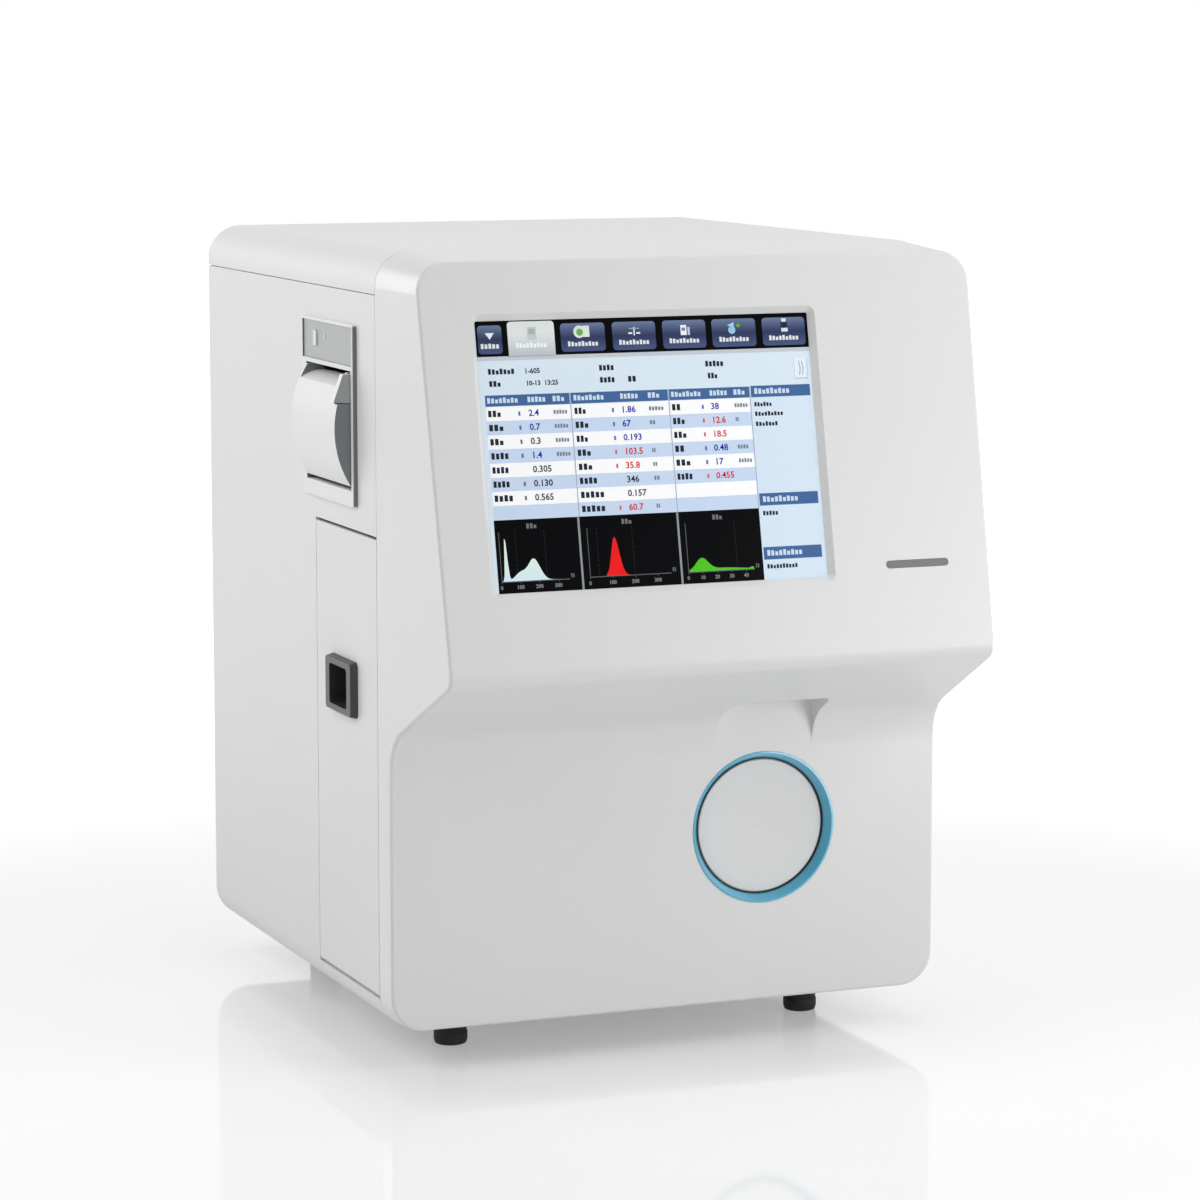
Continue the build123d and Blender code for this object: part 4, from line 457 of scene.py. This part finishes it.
# Table: header, eight banded rows and the column lines
table = dict(headTop=0.273, headFoot=0.314, rowTop=0.316, rowStep=0.0518, rows=8, foot=0.731, lineHalf=0.0012,
             columns=((0.014, 0.262), (0.266, 0.556), (0.56, 0.804)), lines=(0.264, 0.558, 0.8055))
for left, right in table["columns"]:
    addCell(left, table["headTop"], right, table["headFoot"], screen["header"], 3)
    for row in range(table["rows"]):
        colour = screen["rowWhite"] if row % 2 == 0 else screen["rowBlue"]
        top = table["rowTop"] + row * table["rowStep"]
        addCell(left, top, right, table["rowTop"] + (row + 1) * table["rowStep"], colour, 3)
for x in table["lines"]:
    addCell(x - table["lineHalf"], table["headTop"], x + table["lineHalf"], table["foot"], screen["line"], 4)
for x in (0.26, 0.556):
    addCell(x - 0.003, 0.733, x + 0.003, 1, screen["split"], 4)
# Message column
for top, right, bottom, middle in (
    (0.271, 0.992, 0.314, 0.293), (0.676, 0.99, 0.722, 0.7), (0.878, 0.988, 0.925, 0.902),
):
    addCell(0.809, top, right, bottom, screen["header"], 3)
    addWord(0.82, middle, 0.93, 0.026, screen["headerWord"])
for middle, right in ((0.342, 0.872), (0.378, 0.905), (0.416, 0.886), (0.752, 0.865), (0.952, 0.912)):
    addWord(0.817, middle, right, 0.02, screen["word"])
# Sample lines and the scroll key
for left, right, middle in (
    (0.029, 0.108, 0.188), (0.03, 0.066, 0.233), (0.357, 0.403, 0.186), (0.357, 0.403, 0.231),
    (0.441, 0.467, 0.231), (0.677, 0.734, 0.184), (0.682, 0.713, 0.229),
):
    addWord(left, middle, right, 0.025, screen["word"])
addCell(0.948, 0.172, 0.989, 0.25, screen["keyEdge"], 2)
addCell(0.949, 0.17, 0.987, 0.246, screen["keyFace"], 3)
scrollMark = dict(steps=6, bend=0.004, top=0.182, step=0.009, width=0.003)
for x in (0.961, 0.97):
    for k in range(scrollMark["steps"]):
        bent = x + scrollMark["bend"] * math.sin(math.pi * (k + 0.5) / scrollMark["steps"])
        top = scrollMark["top"] + k * scrollMark["step"]
        addCell(bent, top, bent + scrollMark["width"], top + scrollMark["step"], screen["keyMark"], 4)
# Where each column's name, flag, value and unit start, then its rows: width of the name, flag with the
# value's colour, value, and width of the unit
tableRows = (
    ((0.02, 0.108, 0.138, 0.212),
     (0.04, "low", "2.4", 0.042), (0.045, "low", "0.7", 0.042), (0.042, "word", "0.3", 0.042),
     (0.053, "low", "1.4", 0.042), (0.05, "none", "0.305", 0), (0.05, "word", "0.130", 0),
     (0.057, "word", "0.565", 0)),
    ((0.274, 0.385, 0.413, 0.496),
     (0.036, "low", "1.86", 0.046), (0.041, "low", "67", 0.018), (0.036, "low", "0.193", 0),
     (0.042, "high", "103.5", 0.012), (0.043, "high", "35.8", 0.014), (0.054, "none", "346", 0.018),
     (0.072, "none", "0.157", 0), (0.072, "high", "60.7", 0.012)),
    ((0.566, 0.656, 0.683, 0.756),
     (0.028, "low", "38", 0.042), (0.038, "high", "12.6", 0.011), (0.04, "high", "18.5", 0),
     (0.03, "low", "0.48", 0.034), (0.046, "low", "17", 0.042), (0.048, "high", "0.455", 0)),
)
layers = []
for (nameAt, flagAt, valueAt, unitAt), *rows in tableRows:
    for left, width in ((nameAt, 0.092), (valueAt, 0.055), (unitAt, 0.037)):
        addWord(left, 0.294, left + width, 0.024, screen["headerWord"])
    for row, (width, flag, value, unit) in enumerate(rows):
        middle = table["rowTop"] + (row + 0.52) * table["rowStep"]
        addWord(nameAt, middle, nameAt + width, 0.028, screen["word"])
        tint = screen.get(flag, screen["word"])
        if flag != "none":
            paler = blendColours(tint, (255, 255, 255), 0.3)
            addCell(flagAt, middle - 0.008, flagAt + 0.006, middle + 0.008, paler, 4)
        if unit:
            addWord(unitAt, middle, unitAt + unit, 0.018, screen["faint"])
        layers.append(addNumber(value, valueAt, middle, 4.3, tint))
layers.append(addNumber("1-605", 0.135, 0.188, 3.4, screen["word"]))
layers.append(addNumber("10-13  13:25", 0.137, 0.233, 3.2, screen["word"]))
# Three black fields: left, right and base of the axes, dashed lines, and numbers on the base
field = dict(top=0.775, axis=0.0022, floor=0.0035, dashes=12, dashStep=0.0148, dashTall=0.009, line=0.0018,
             tick=0.009, numbersAt=0.979, numberSize=2.5, captionAt=0.758, captionHalf=0.016)
fields = (
    (0.022, 0.222, 0.956, (0.07, 0.155), ("0", "100", "200", "300")),
    (0.282, 0.525, 0.954, (0.31, 0.415), ("0", "100", "200", "300")),
    (0.576, 0.778, 0.956, (0.725,), ("0", "10", "20", "30", "40")),
)
for left, right, base, dashes, marks in fields:
    addCell(left, field["top"], left + field["axis"], base, screen["axis"], 3)
    addCell(left, base, right, base + field["floor"], screen["axis"], 3)
    for x in dashes:
        for k in range(field["dashes"]):
            top = field["top"] + k * field["dashStep"]
            addCell(x, top, x + field["line"], top + field["dashTall"], screen["dash"], 3)
    for k, words in enumerate(marks):
        at = left + k * (right - left) / (len(marks) - 0.4)
        addCell(at, base, at + field["line"], base + field["tick"], screen["axis"], 3)
        numberAt = at - 0.004 * len(words)
        layers.append(addNumber(words, numberAt, field["numbersAt"], field["numberSize"], screen["markWord"]))
    middle, half = (left + right) / 2, field["captionHalf"]
    addWord(middle - half, field["captionAt"], middle + half, 0.022, screen["fieldWord"])
    addWord(right + 0.004, base - 0.01, right + 0.016, 0.018, screen["unitWord"])


# Heights of a curve made of bells, each with its place, width and height
def bellCurve(steps, parts):
    heights = []
    for i in range(steps):
        share = i / (steps - 1)
        heights.append(sum(high * math.exp(-(((share - at) / wide) ** 2)) for at, wide, high in parts))
    return heights


curves = (
    (0.022, 0.212, 0.956, 61, "cream", "ice",
     ((0.09, 0.028, 0.165), (0.3, 0.12, 0.024), (0.52, 0.12, 0.07), (0.42, 0.2, 0.012))),
    (0.332, 0.415, 0.954, 41, "red", "red", ((0.36, 0.2, 0.142),)),
    (0.58, 0.776, 0.956, 51, "green", "green", ((0.2, 0.13, 0.044), (0.5, 0.45, 0.01), (0.98, 0.04, 0.006))),
)
for left, right, base, steps, colour, lowColour, bells in curves:
    layers.append(addCurve(left, right, base, bellCurve(steps, bells), screen[colour], screen[lowColour]))
# Tabs with their icons and captions
tabs = (
    (0.006, 0.077), (0.094, 0.232), (0.25, 0.382), (0.404, 0.534), (0.555, 0.686), (0.705, 0.839), (0.859, 0.991),
)
for i, (left, right) in enumerate(tabs):
    active = i == 1
    layers.append(addTab(left, right, 0.004 if active else 0.016, 0.134 if active else 0.121, active))
    middle = (left + right) / 2
    reach = 0.028 if i == 0 else 0.046
    caption = screen["activeCaption"] if active else screen["caption"]
    addWord(middle - reach, 0.094, middle + reach, 0.022, caption)
# Icons: their cells, and their round or pointed shapes as place, radius, sides, colour, layer, turn, squash
iconCells = (
    (0.152, 0.026, 0.178, 0.072, (198, 206, 206), 4), (0.156, 0.032, 0.174, 0.052, (172, 182, 184), 5),
    (0.316, 0.026, 0.336, 0.068, (226, 232, 230), 4), (0.452, 0.056, 0.464, 0.062, screen["white"], 4),
    (0.476, 0.056, 0.488, 0.062, screen["white"], 4), (0.468, 0.036, 0.4715, 0.068, screen["white"], 4),
    (0.455, 0.04, 0.485, 0.043, (170, 184, 214), 4), (0.61, 0.034, 0.628, 0.072, screen["white"], 4),
    (0.613, 0.044, 0.624, 0.056, (120, 134, 168), 5), (0.631, 0.042, 0.638, 0.072, (190, 202, 224), 4),
    (0.917, 0.032, 0.937, 0.056, (30, 48, 76), 4), (0.92, 0.02, 0.934, 0.033, (216, 228, 236), 5),
    (0.918, 0.056, 0.938, 0.07, (214, 224, 220), 5),
)
iconShapes = (
    (0.041, 0.052, 2.6, 3, screen["white"], 4, math.pi, 0.8),
    (0.306, 0.048, 3, 20, (222, 232, 218), 5, 0, 1),
    (0.307, 0.05, 1.7, 16, (110, 176, 84), 6, 0, 1),
    (0.766, 0.058, 1.9, 18, (150, 200, 232), 4, 0, 1),
    (0.766, 0.04, 1.6, 3, (170, 214, 240), 4, math.pi / 2, 1.5),
    (0.786, 0.042, 1.4, 4, (96, 176, 60), 4, 0.4, 0.7),
)
for cell in iconCells:
    addCell(*cell)
for shape in iconShapes:
    layers.append(addShape(*shape))
layers.append(buildCells("displayCells"))
displayPicture = joinPieces("displayPicture", layers[::-1])
displayPicture.matrix_world = faceMatrix(
    screen["x"] - screen["width"] / 2, screen["z"], -screen["sunk"]
) @ Matrix.Translation((0, screen["height"] / 2, 0))
applyPlace(displayPicture)
pictureMaterial, nodes, links = newMaterial("displayPicture")
shader = nodes["Principled BSDF"]
painted = nodes.new("ShaderNodeAttribute")
painted.attribute_name = "paint"
links.new(painted.outputs["Color"], shader.inputs["Base Color"])
links.new(painted.outputs["Color"], shader.inputs["Emission Color"])
shader.inputs["Emission Strength"].default_value = screen["glow"]
shader.inputs["Roughness"].default_value = screen["rough"]
shader.inputs["Specular IOR Level"].default_value = screen["specular"]
dress(displayPicture, pictureMaterial, "analyzer", "screen_glass")
print("display picture,", len(displayPicture.data.polygons), "faces")


# Selects the points of a piece that pass the test, and leaves it in edit mode
def pickPoints(piece, test):
    choose(piece)
    bpy.ops.object.mode_set(mode="EDIT")
    bpy.ops.mesh.select_mode(type="VERT")
    bpy.ops.mesh.select_all(action="DESELECT")
    bpy.ops.object.mode_set(mode="OBJECT")
    for point in piece.data.vertices:
        point.select = test(point)
    bpy.ops.object.mode_set(mode="EDIT")


# A turned shape in millimetres: rings of (radius, height), stacked along its own Z
def turnedShape(name, rings, sides, closeStart=True, closeEnd=True):
    clearSelection()
    radius, height = rings[0]
    bpy.ops.mesh.primitive_circle_add(
        vertices=sides, radius=radius, fill_type="NGON" if closeStart else "NOTHING", location=(0, 0, height)
    )
    piece = bpy.context.object
    piece.name = name
    applyPlace(piece)
    bpy.ops.object.mode_set(mode="EDIT")
    bpy.ops.mesh.select_mode(type="EDGE")
    bpy.ops.mesh.select_all(action="SELECT")
    for nextRadius, nextHeight in rings[1:]:
        bpy.ops.mesh.extrude_edges_move(TRANSFORM_OT_translate={"value": (0, 0, nextHeight - height)})
        share = nextRadius / radius
        bpy.ops.transform.resize(value=(share, share, 1), center_override=(0, 0, nextHeight))
        radius, height = nextRadius, nextHeight
    if closeEnd:
        bpy.ops.mesh.edge_face_add()
    bpy.ops.mesh.select_all(action="SELECT")
    bpy.ops.mesh.normals_make_consistent(inside=False)
    bpy.ops.object.mode_set(mode="OBJECT")
    return piece


def smooth(piece, angle=35):
    choose(piece)
    bpy.ops.object.shade_smooth_by_angle(angle=math.radians(angle))
    return piece


def softEdges(piece, width, segments=2):
    choose(piece)
    bpy.ops.object.modifier_add(type="BEVEL")
    edge = piece.modifiers[-1]
    edge.width = width
    edge.segments = segments
    edge.limit_method = "ANGLE"
    edge.angle_limit = math.radians(30)
    bpy.ops.object.modifier_apply(modifier=edge.name)
    return smooth(piece)


def cutWith(piece, cutter):
    choose(piece)
    bpy.ops.object.modifier_add(type="BOOLEAN")
    cut = piece.modifiers[-1]
    cut.operation = "DIFFERENCE"
    cut.object = cutter
    bpy.ops.object.modifier_apply(modifier=cut.name)
    bpy.data.objects.remove(cutter, do_unlink=True)
    return piece


def slab(name, width, height, low, high, x=0.0, y=0.0):
    clearSelection()
    bpy.ops.mesh.primitive_cube_add(size=1, location=(x, y, (low + high) / 2))
    piece = bpy.context.object
    piece.name = name
    piece.scale = (width, height, high - low)
    applyPlace(piece)
    return piece


# Seats: the shape's own Z points up, or out of the front or the rear
def seat(x, y, z, facing="up"):
    turns = {"front": 0, "rear": 180}
    turned = Matrix.Identity(4)
    if facing in turns:
        turned = Matrix.Rotation(math.radians(turns[facing]), 4, "Z") @ Matrix.Rotation(math.radians(90), 4, "X")
    return Matrix.Translation(place(x, y, z)) @ turned @ Matrix.Scale(mm, 4)


def settle(piece, matrix):
    piece.matrix_world = matrix
    applyPlace(piece)
    return piece


def copyTo(piece, name, matrix):
    copy = piece.copy()
    copy.data = piece.data.copy()
    copy.name = name
    bpy.context.collection.objects.link(copy)
    return settle(copy, matrix)


def drop(piece):
    bpy.data.objects.remove(piece, do_unlink=True)


# Rubber feet: a barrel with two grooves, a soft sole and a recess for a sunk screw
foot = dict(radius=8.5, height=20, waist=8, sole=7.4, x=96, front=38, rear=238)
footShape = turnedShape("footShape", [
    (3.2, 4.5), (3.2, 0.6), (foot["sole"] - 0.4, 0), (foot["sole"] + 0.5, 0.4), (foot["radius"], 2.4),
    (foot["radius"], 6.2), (foot["waist"], 6.8), (foot["waist"], 7.6), (foot["radius"], 8.2), (foot["radius"], 11),
    (foot["waist"], 11.6), (foot["waist"], 12.4), (foot["radius"], 13), (foot["radius"], foot["height"]),
], sides=48)
softEdges(footShape, 0.18)
for side, x in (("left", -foot["x"]), ("right", foot["x"])):
    for end in ("front", "rear"):
        piece = copyTo(footShape, f"rubberFoot_{end}_{side}", seat(x, foot[end], 0))
        dress(piece, materials["foot_rubber"], "analyzer", "foot_rubber", f"foot_{end}_{side}")
drop(footShape)

# Screws on the rear panel: low domes with a cross recess
screw = dict(radius=3, height=2, slot=0.75, reach=3.2, slotFloor=0.9, places=((132, 42), (133.5, 209), (132, 376)))
screwShape = turnedShape("screwShape", [
    (screw["radius"], 0), (screw["radius"], 0.7), (2.7, 1.3), (2.1, 1.75), (1.2, screw["height"]),
], sides=32)
for width, height in ((screw["reach"], screw["slot"]), (screw["slot"], screw["reach"])):
    cutWith(screwShape, slab("recess", width, height, screw["slotFloor"], 3))
softEdges(screwShape, 0.08, 1)
screws = [
    copyTo(screwShape, "screwCopy", seat(side * x, rearFace, z, "rear")) for side in (-1, 1) for x, z in screw["places"]
]
drop(screwShape)
rearScrews = joinPieces("panelScrews", screws)
dress(rearScrews, materials["zinc_steel"], "analyzer", "zinc_steel", "rear_screws")

# Wire guard over the fan's grille
guard = dict(x=-70, z=300, rings=(11, 19, 27, 35), wire=0.9, arms=4, armEnds=(10, 41), armLift=1.2,
             eyeRadius=3.6, eyeReach=42.5, out=278.2)
wires = []
for ring in guard["rings"]:
    clearSelection()
    bpy.ops.mesh.primitive_torus_add(
        major_radius=ring, minor_radius=guard["wire"], major_segments=96, minor_segments=10
    )
    wires.append(bpy.context.object)
for k in range(guard["arms"]):
    angle = math.radians(45 + k * 360 / guard["arms"])
    arm = turnedShape("guardArm", [(guard["wire"], end) for end in guard["armEnds"]], sides=12)
    lying = Matrix.Rotation(angle, 4, "Z") @ Matrix.Rotation(math.radians(90), 4, "Y")
    wires.append(settle(arm, lying @ Matrix.Translation((guard["armLift"], 0, 0))))
    eye = turnedShape("guardEye", [
        (guard["eyeRadius"], -1.6), (guard["eyeRadius"], 0.2), (guard["eyeRadius"] - 1, 0.9),
    ], sides=24)
    reach = guard["eyeReach"]
    settle(eye, Matrix.Translation((reach * math.cos(angle), reach * math.sin(angle), 0)))
    wires.append(softEdges(eye, 0.2))
fanGuard = joinPieces("fanGuard", wires)
smooth(settle(fanGuard, seat(guard["x"], guard["out"], guard["z"], "rear")))
dress(fanGuard, materials["rod_steel"], "analyzer", "rod_steel")
print("feet, screws and fan guard")

# Metal faces, liners and tongues of the data ports in the rear panel
ports = dict(x=123.1, places=(205, 229), width=14.6, height=16, slotWidth=13.1, slotHeight=5.4, step=8,
             deep=14.4, skin=0.25, wall=0.25, tongue=1.4, tongueLift=1.2)
network = dict(x=122.4, z=181, width=16, height=13.5, slotWidth=11.8, slotHeight=8.2, contacts=8,
               contactWidth=0.5, contactHeight=0.3, contactLift=3.2)


def portShell(name, look, slotPlaces):
    slot = (look["slotWidth"], look["slotHeight"])
    shell = slab(name, look["width"], look["height"], 0, ports["skin"])
    for at in slotPlaces:
        cutWith(shell, slab("cutter", *slot, -1, 1, y=at))
    softEdges(shell, 0.06, 1)
    parts = [shell]
    for at in slotPlaces:
        liner = slab("liner", *slot, -ports["deep"], ports["skin"], y=at)
        inner = [size - 2 * ports["wall"] for size in slot]
        parts.append(cutWith(liner, slab("cutter", *inner, -ports["deep"] + 0.3, 1, y=at)))
    return joinPieces(name, parts)


usbShell = portShell("dataPort", ports, (-ports["step"] / 2, ports["step"] / 2))
networkShell = portShell("networkPort", network, (0,))
tongues = []
for k, z in enumerate(ports["places"]):
    piece = copyTo(usbShell, f"dataPort_{k + 1}", seat(ports["x"], rearFace, z, "rear"))
    dress(piece, materials["zinc_steel"], "analyzer", "zinc_steel")
    for side in (-1, 1):
        tongue = slab("tongue", ports["slotWidth"] - 2, ports["tongue"], -ports["deep"] + 0.3, -1.2)
        softEdges(tongue, 0.2)
        height = z + side * ports["step"] / 2 + ports["tongueLift"]
        tongues.append(settle(tongue, seat(ports["x"], rearFace, height, "rear")))
networkSeat = seat(network["x"], rearFace, network["z"], "rear")
dress(settle(networkShell, networkSeat), materials["zinc_steel"], "analyzer", "zinc_steel")
drop(usbShell)
for k in range(network["contacts"]):
    contact = slab("contact", network["contactWidth"], network["contactHeight"], -ports["deep"] + 0.4, -2.5,
                   x=k - (network["contacts"] - 1) / 2, y=network["contactLift"])
    tongues.append(settle(contact, networkSeat))
dress(joinPieces("portTongues", tongues), materials["inlet_black"], "analyzer", "inlet_black")
print("data ports")

# Painted shade: a black rubber ring set in the gap between the start button and its ring darkens the gap line
gapShadeSize = dict(x=51, z=108.5, inner=33.9, outer=34.3, face=11.3, deep=1.4)
blackGapRing = turnedShape("buttonGapShade", [
    (gapShadeSize["inner"], 0), (gapShadeSize["inner"], gapShadeSize["deep"]), (gapShadeSize["outer"], gapShadeSize["deep"]), (gapShadeSize["outer"], 0),
], sides=128, closeStart=False, closeEnd=False)
smooth(settle(blackGapRing, seat(gapShadeSize["x"], -gapShadeSize["face"] + gapShadeSize["deep"], gapShadeSize["z"], "front")))
dress(blackGapRing, materials["foot_rubber"], "analyzer", "foot_rubber")

# Reagent bottle: a round bottle with a shallow waist, a shoulder and a threaded neck
bottle = dict(x=-96.7, y=46.8, low=36.5, radius=33, waist=32.4, neck=12.8, wall=2.2, height=150,
              turns=4, pitch=2.6, thread=0.8)
bottleRings = [
    (27, 1.6), (29.5, 0), (31.6, 0.6), (bottle["radius"], 3), (bottle["radius"], 22), (bottle["waist"], 23),
    (bottle["waist"], 96), (bottle["radius"], 97), (bottle["radius"], 106), (32, 112), (29, 119), (24.4, 125),
    (18.5, 129.6), (14.6, 131.8), (14.6, 134), (bottle["neck"], 134.6),
]
crest = bottle["neck"] + bottle["thread"]
bore = bottle["neck"] - bottle["wall"]
for turn in range(bottle["turns"]):
    at = 137.6 + turn * bottle["pitch"]
    bottleRings += [(bottle["neck"], at), (crest, at + 0.5), (crest, at + 0.9), (bottle["neck"], at + 1.4)]
bottleRings += [(bottle["neck"], bottle["height"]), (bore, bottle["height"]), (bore, 134), (12, 131)]
bottleBody = turnedShape("reagentBottle", bottleRings, sides=96, closeEnd=False)
softEdges(bottleBody, 0.35)
settle(bottleBody, seat(bottle["x"], bottle["y"], bottle["low"]))
dress(bottleBody, materials["bottle_white"], "analyzer", "bottle_white", "reagent_bottle")

# Cap with a ribbed skirt, made by drawing every second pair of points inwards
cap = dict(radius=18, low=174, ribs=36, depth=0.6)
capShape = turnedShape("bottleCap", [
    (13.8, 0), (cap["radius"] - 0.4, 0), (cap["radius"], 0.6), (cap["radius"], 12.6), (cap["radius"] - 0.8, 14.6),
    (cap["radius"] - 2.4, 15.8), (cap["radius"] - 4, 16), (cap["radius"] - 5, 15.4), (3.4, 15.4), (3.4, 15.9),
    (2.4, 16),
], sides=cap["ribs"] * 4, closeStart=False)


def inRib(point):
    if not 0.3 < point.co.z < 13 or point.co.xy.length < cap["radius"] - 0.1:
        return False
    step = round(math.atan2(point.co.y, point.co.x) / (math.pi / (2 * cap["ribs"])))
    return step % 4 in (0, 1)


pickPoints(capShape, inRib)
share = 1 - cap["depth"] / cap["radius"]
bpy.ops.transform.resize(value=(share, share, 1), center_override=(0, 0, 0))
bpy.ops.object.mode_set(mode="OBJECT")
smooth(settle(capShape, seat(bottle["x"], bottle["y"], cap["low"])), 28)
dress(capShape, materials["cap_blue"], "analyzer", "cap_blue", "bottle_cap")

# Paper roll with a card core; its ends show the wound edges
roll = dict(x=-119, z=299.4, front=36.3, length=57, radius=19, core=6, card=7.2, edge=0.4,
            colour=(240, 239, 234), rough=0.8, layers=9000, layerShade=0.06, shade=0.92)
rollShape = turnedShape("paperRoll", [
    (roll["core"], 0), (roll["card"], 0), (roll["card"], 0.25), (roll["radius"] - roll["edge"], 0.1),
    (roll["radius"], roll["edge"]), (roll["radius"], roll["length"] - roll["edge"]),
    (roll["radius"] - roll["edge"], roll["length"] - 0.1), (roll["card"], roll["length"] - 0.25),
    (roll["card"], roll["length"]), (roll["core"], roll["length"]), (roll["core"], 0.01),
], sides=80, closeStart=False, closeEnd=False)
pickPoints(rollShape, lambda point: True)
bpy.ops.mesh.remove_doubles(threshold=0.02)
bpy.ops.mesh.normals_make_consistent(inside=False)
bpy.ops.object.mode_set(mode="OBJECT")
smooth(settle(rollShape, seat(roll["x"], roll["front"] + roll["length"], roll["z"], "front")))
rollMaterial, nodes, links = newMaterial("woundPaper")
shader = nodes["Principled BSDF"]
surface = nodes.new("ShaderNodeGroup")
surface.node_tree = mouldGroup
surface.inputs["Colour"].default_value = srgb(*roll["colour"])
surface.inputs["Roughness"].default_value = roll["rough"]
coords = nodes.new("ShaderNodeTexCoord")
centre = nodes.new("ShaderNodeMapping")
centre.inputs["Location"].default_value = -place(roll["x"], 0, roll["z"])
links.new(coords.outputs["Object"], centre.inputs["Vector"])
flat = nodes.new("ShaderNodeVectorMath")
flat.operation = "MULTIPLY"
flat.inputs[1].default_value = (1, 0, 1)
links.new(centre.outputs[0], flat.inputs[0])
reach = nodes.new("ShaderNodeVectorMath")
reach.operation = "LENGTH"
links.new(flat.outputs[0], reach.inputs[0])
wave = addMath(nodes, links, "SINE", addMath(nodes, links, "MULTIPLY", reach.outputs["Value"], roll["layers"]), 0)
woundShade = addMath(nodes, links, "ADD", addMath(nodes, links, "MULTIPLY", wave, roll["layerShade"]), roll["shade"])
tint = nodes.new("ShaderNodeVectorMath")
tint.operation = "SCALE"
links.new(surface.outputs["Colour"], tint.inputs[0])
links.new(woundShade, tint.inputs["Scale"])
links.new(tint.outputs[0], shader.inputs["Base Color"])
links.new(surface.outputs["Roughness"], shader.inputs["Roughness"])
links.new(surface.outputs["Normal"], shader.inputs["Normal"])
dress(rollShape, rollMaterial, "analyzer", "paper", "paper_roll")
print("bottle, cap and paper roll")

# Stage: pale floor, plain soft light and the photograph's camera
stageLook = dict(floorSize=14.0, floorShade=0.88, floorSeen=0.68, floorRough=0.06, floorShine=0.4,
                 worldShade=0.23, backdrop=1.0, nearGlow=0.29, farGlow=0.95, glowStart=0.4, glowEnd=1.3)
clearSelection()
bpy.ops.mesh.primitive_plane_add(size=stageLook["floorSize"], location=(0, 0, 0))
floor = bpy.context.object
floor.name = "studioFloor"
floorMaterial, nodes, links = newMaterial("studioFloor")
shader = nodes["Principled BSDF"]
shader.inputs["Roughness"].default_value = stageLook["floorRough"]
shader.inputs["Specular IOR Level"].default_value = stageLook["floorShine"]
path = nodes.new("ShaderNodeLightPath")
shadeStep = stageLook["floorSeen"] - stageLook["floorShade"]
darker = addMath(nodes, links, "MULTIPLY", path.outputs["Is Camera Ray"], shadeStep)
links.new(addMath(nodes, links, "ADD", darker, stageLook["floorShade"]), shader.inputs["Base Color"])
seen = addMath(nodes, links, "MAXIMUM", path.outputs["Is Camera Ray"], path.outputs["Is Glossy Ray"])
seen = addMath(nodes, links, "MAXIMUM", seen, path.outputs["Is Transmission Ray"])
coords = nodes.new("ShaderNodeTexCoord")
reach = nodes.new("ShaderNodeVectorMath")
reach.operation = "LENGTH"
links.new(coords.outputs["Object"], reach.inputs[0])
fade = nodes.new("ShaderNodeMapRange")
fade.interpolation_type = "SMOOTHSTEP"
for label, key in (("From Min", "glowStart"), ("From Max", "glowEnd"), ("To Min", "nearGlow"), ("To Max", "farGlow")):
    fade.inputs[label].default_value = stageLook[key]
links.new(reach.outputs["Value"], fade.inputs["Value"])
glow = nodes.new("ShaderNodeEmission")
links.new(addMath(nodes, links, "MULTIPLY", seen, fade.outputs["Result"]), glow.inputs["Strength"])
total = nodes.new("ShaderNodeAddShader")
links.new(shader.outputs[0], total.inputs[0])
links.new(glow.outputs[0], total.inputs[1])
links.new(total.outputs[0], nodes["Material Output"].inputs["Surface"])
floor.data.materials.append(floorMaterial)

world = bpy.data.worlds.new("studio")
bpy.context.scene.world = world
world.use_nodes = True
nodes, links = world.node_tree.nodes, world.node_tree.links
background = nodes["Background"]
path = nodes.new("ShaderNodeLightPath")
seen = addMath(nodes, links, "MAXIMUM", path.outputs["Is Camera Ray"], path.outputs["Is Glossy Ray"])
seen = addMath(nodes, links, "MAXIMUM", seen, path.outputs["Is Transmission Ray"])
background.inputs["Color"].default_value = (1, 1, 1, 1)
strength = addMath(nodes, links, "MULTIPLY", seen, stageLook["backdrop"] - stageLook["worldShade"])
strength = addMath(nodes, links, "ADD", strength, stageLook["worldShade"])
links.new(strength, background.inputs["Strength"])

lampLook = {
    "keyLamp": dict(at=(1.0, -0.8, 0.95), aim=(0.1, -0.1, 0.15), size=0.8, power=5.6),
    "lowLamp": dict(at=(0.9, -1.2, 0.25), aim=(0.08, -0.15, 0.1), size=0.7, power=6.6),
    "sideLamp": dict(at=(-1.7, -0.3, 1.6), aim=(0, 0, 0.15), size=1.4, power=16),
    "rearLamp": dict(at=(-1.3, 1.8, 0.8), aim=(0, 0.1, 0.2), size=1.0, power=9),
    "topLamp": dict(at=(0.2, -0.1, 2.2), aim=(0, 0, 0.3), size=1.2, power=9),
}
for name, look in lampLook.items():
    clearSelection()
    bpy.ops.object.light_add(type="AREA", location=look["at"])
    lamp = bpy.context.object
    lamp.name = name
    lamp.data.size = look["size"]
    lamp.data.energy = look["power"]
    lamp.rotation_euler = (Vector(look["aim"]) - Vector(look["at"])).to_track_quat("-Z", "Y").to_euler()

cameraLook = dict(at=place(-771.6, -1836.6, 499.7), pitch=-7.9, yaw=21.97, lens=122.35)
clearSelection()
bpy.ops.object.camera_add(
    location=cameraLook["at"],
    rotation=(math.radians(90 + cameraLook["pitch"]), 0, -math.radians(cameraLook["yaw"])),
)
camera = bpy.context.object
camera.data.lens = cameraLook["lens"]
camera.data.sensor_width = 36
bpy.context.scene.camera = camera
bpy.context.scene.view_settings.view_transform = "Standard"
print("stage, lamps and camera")
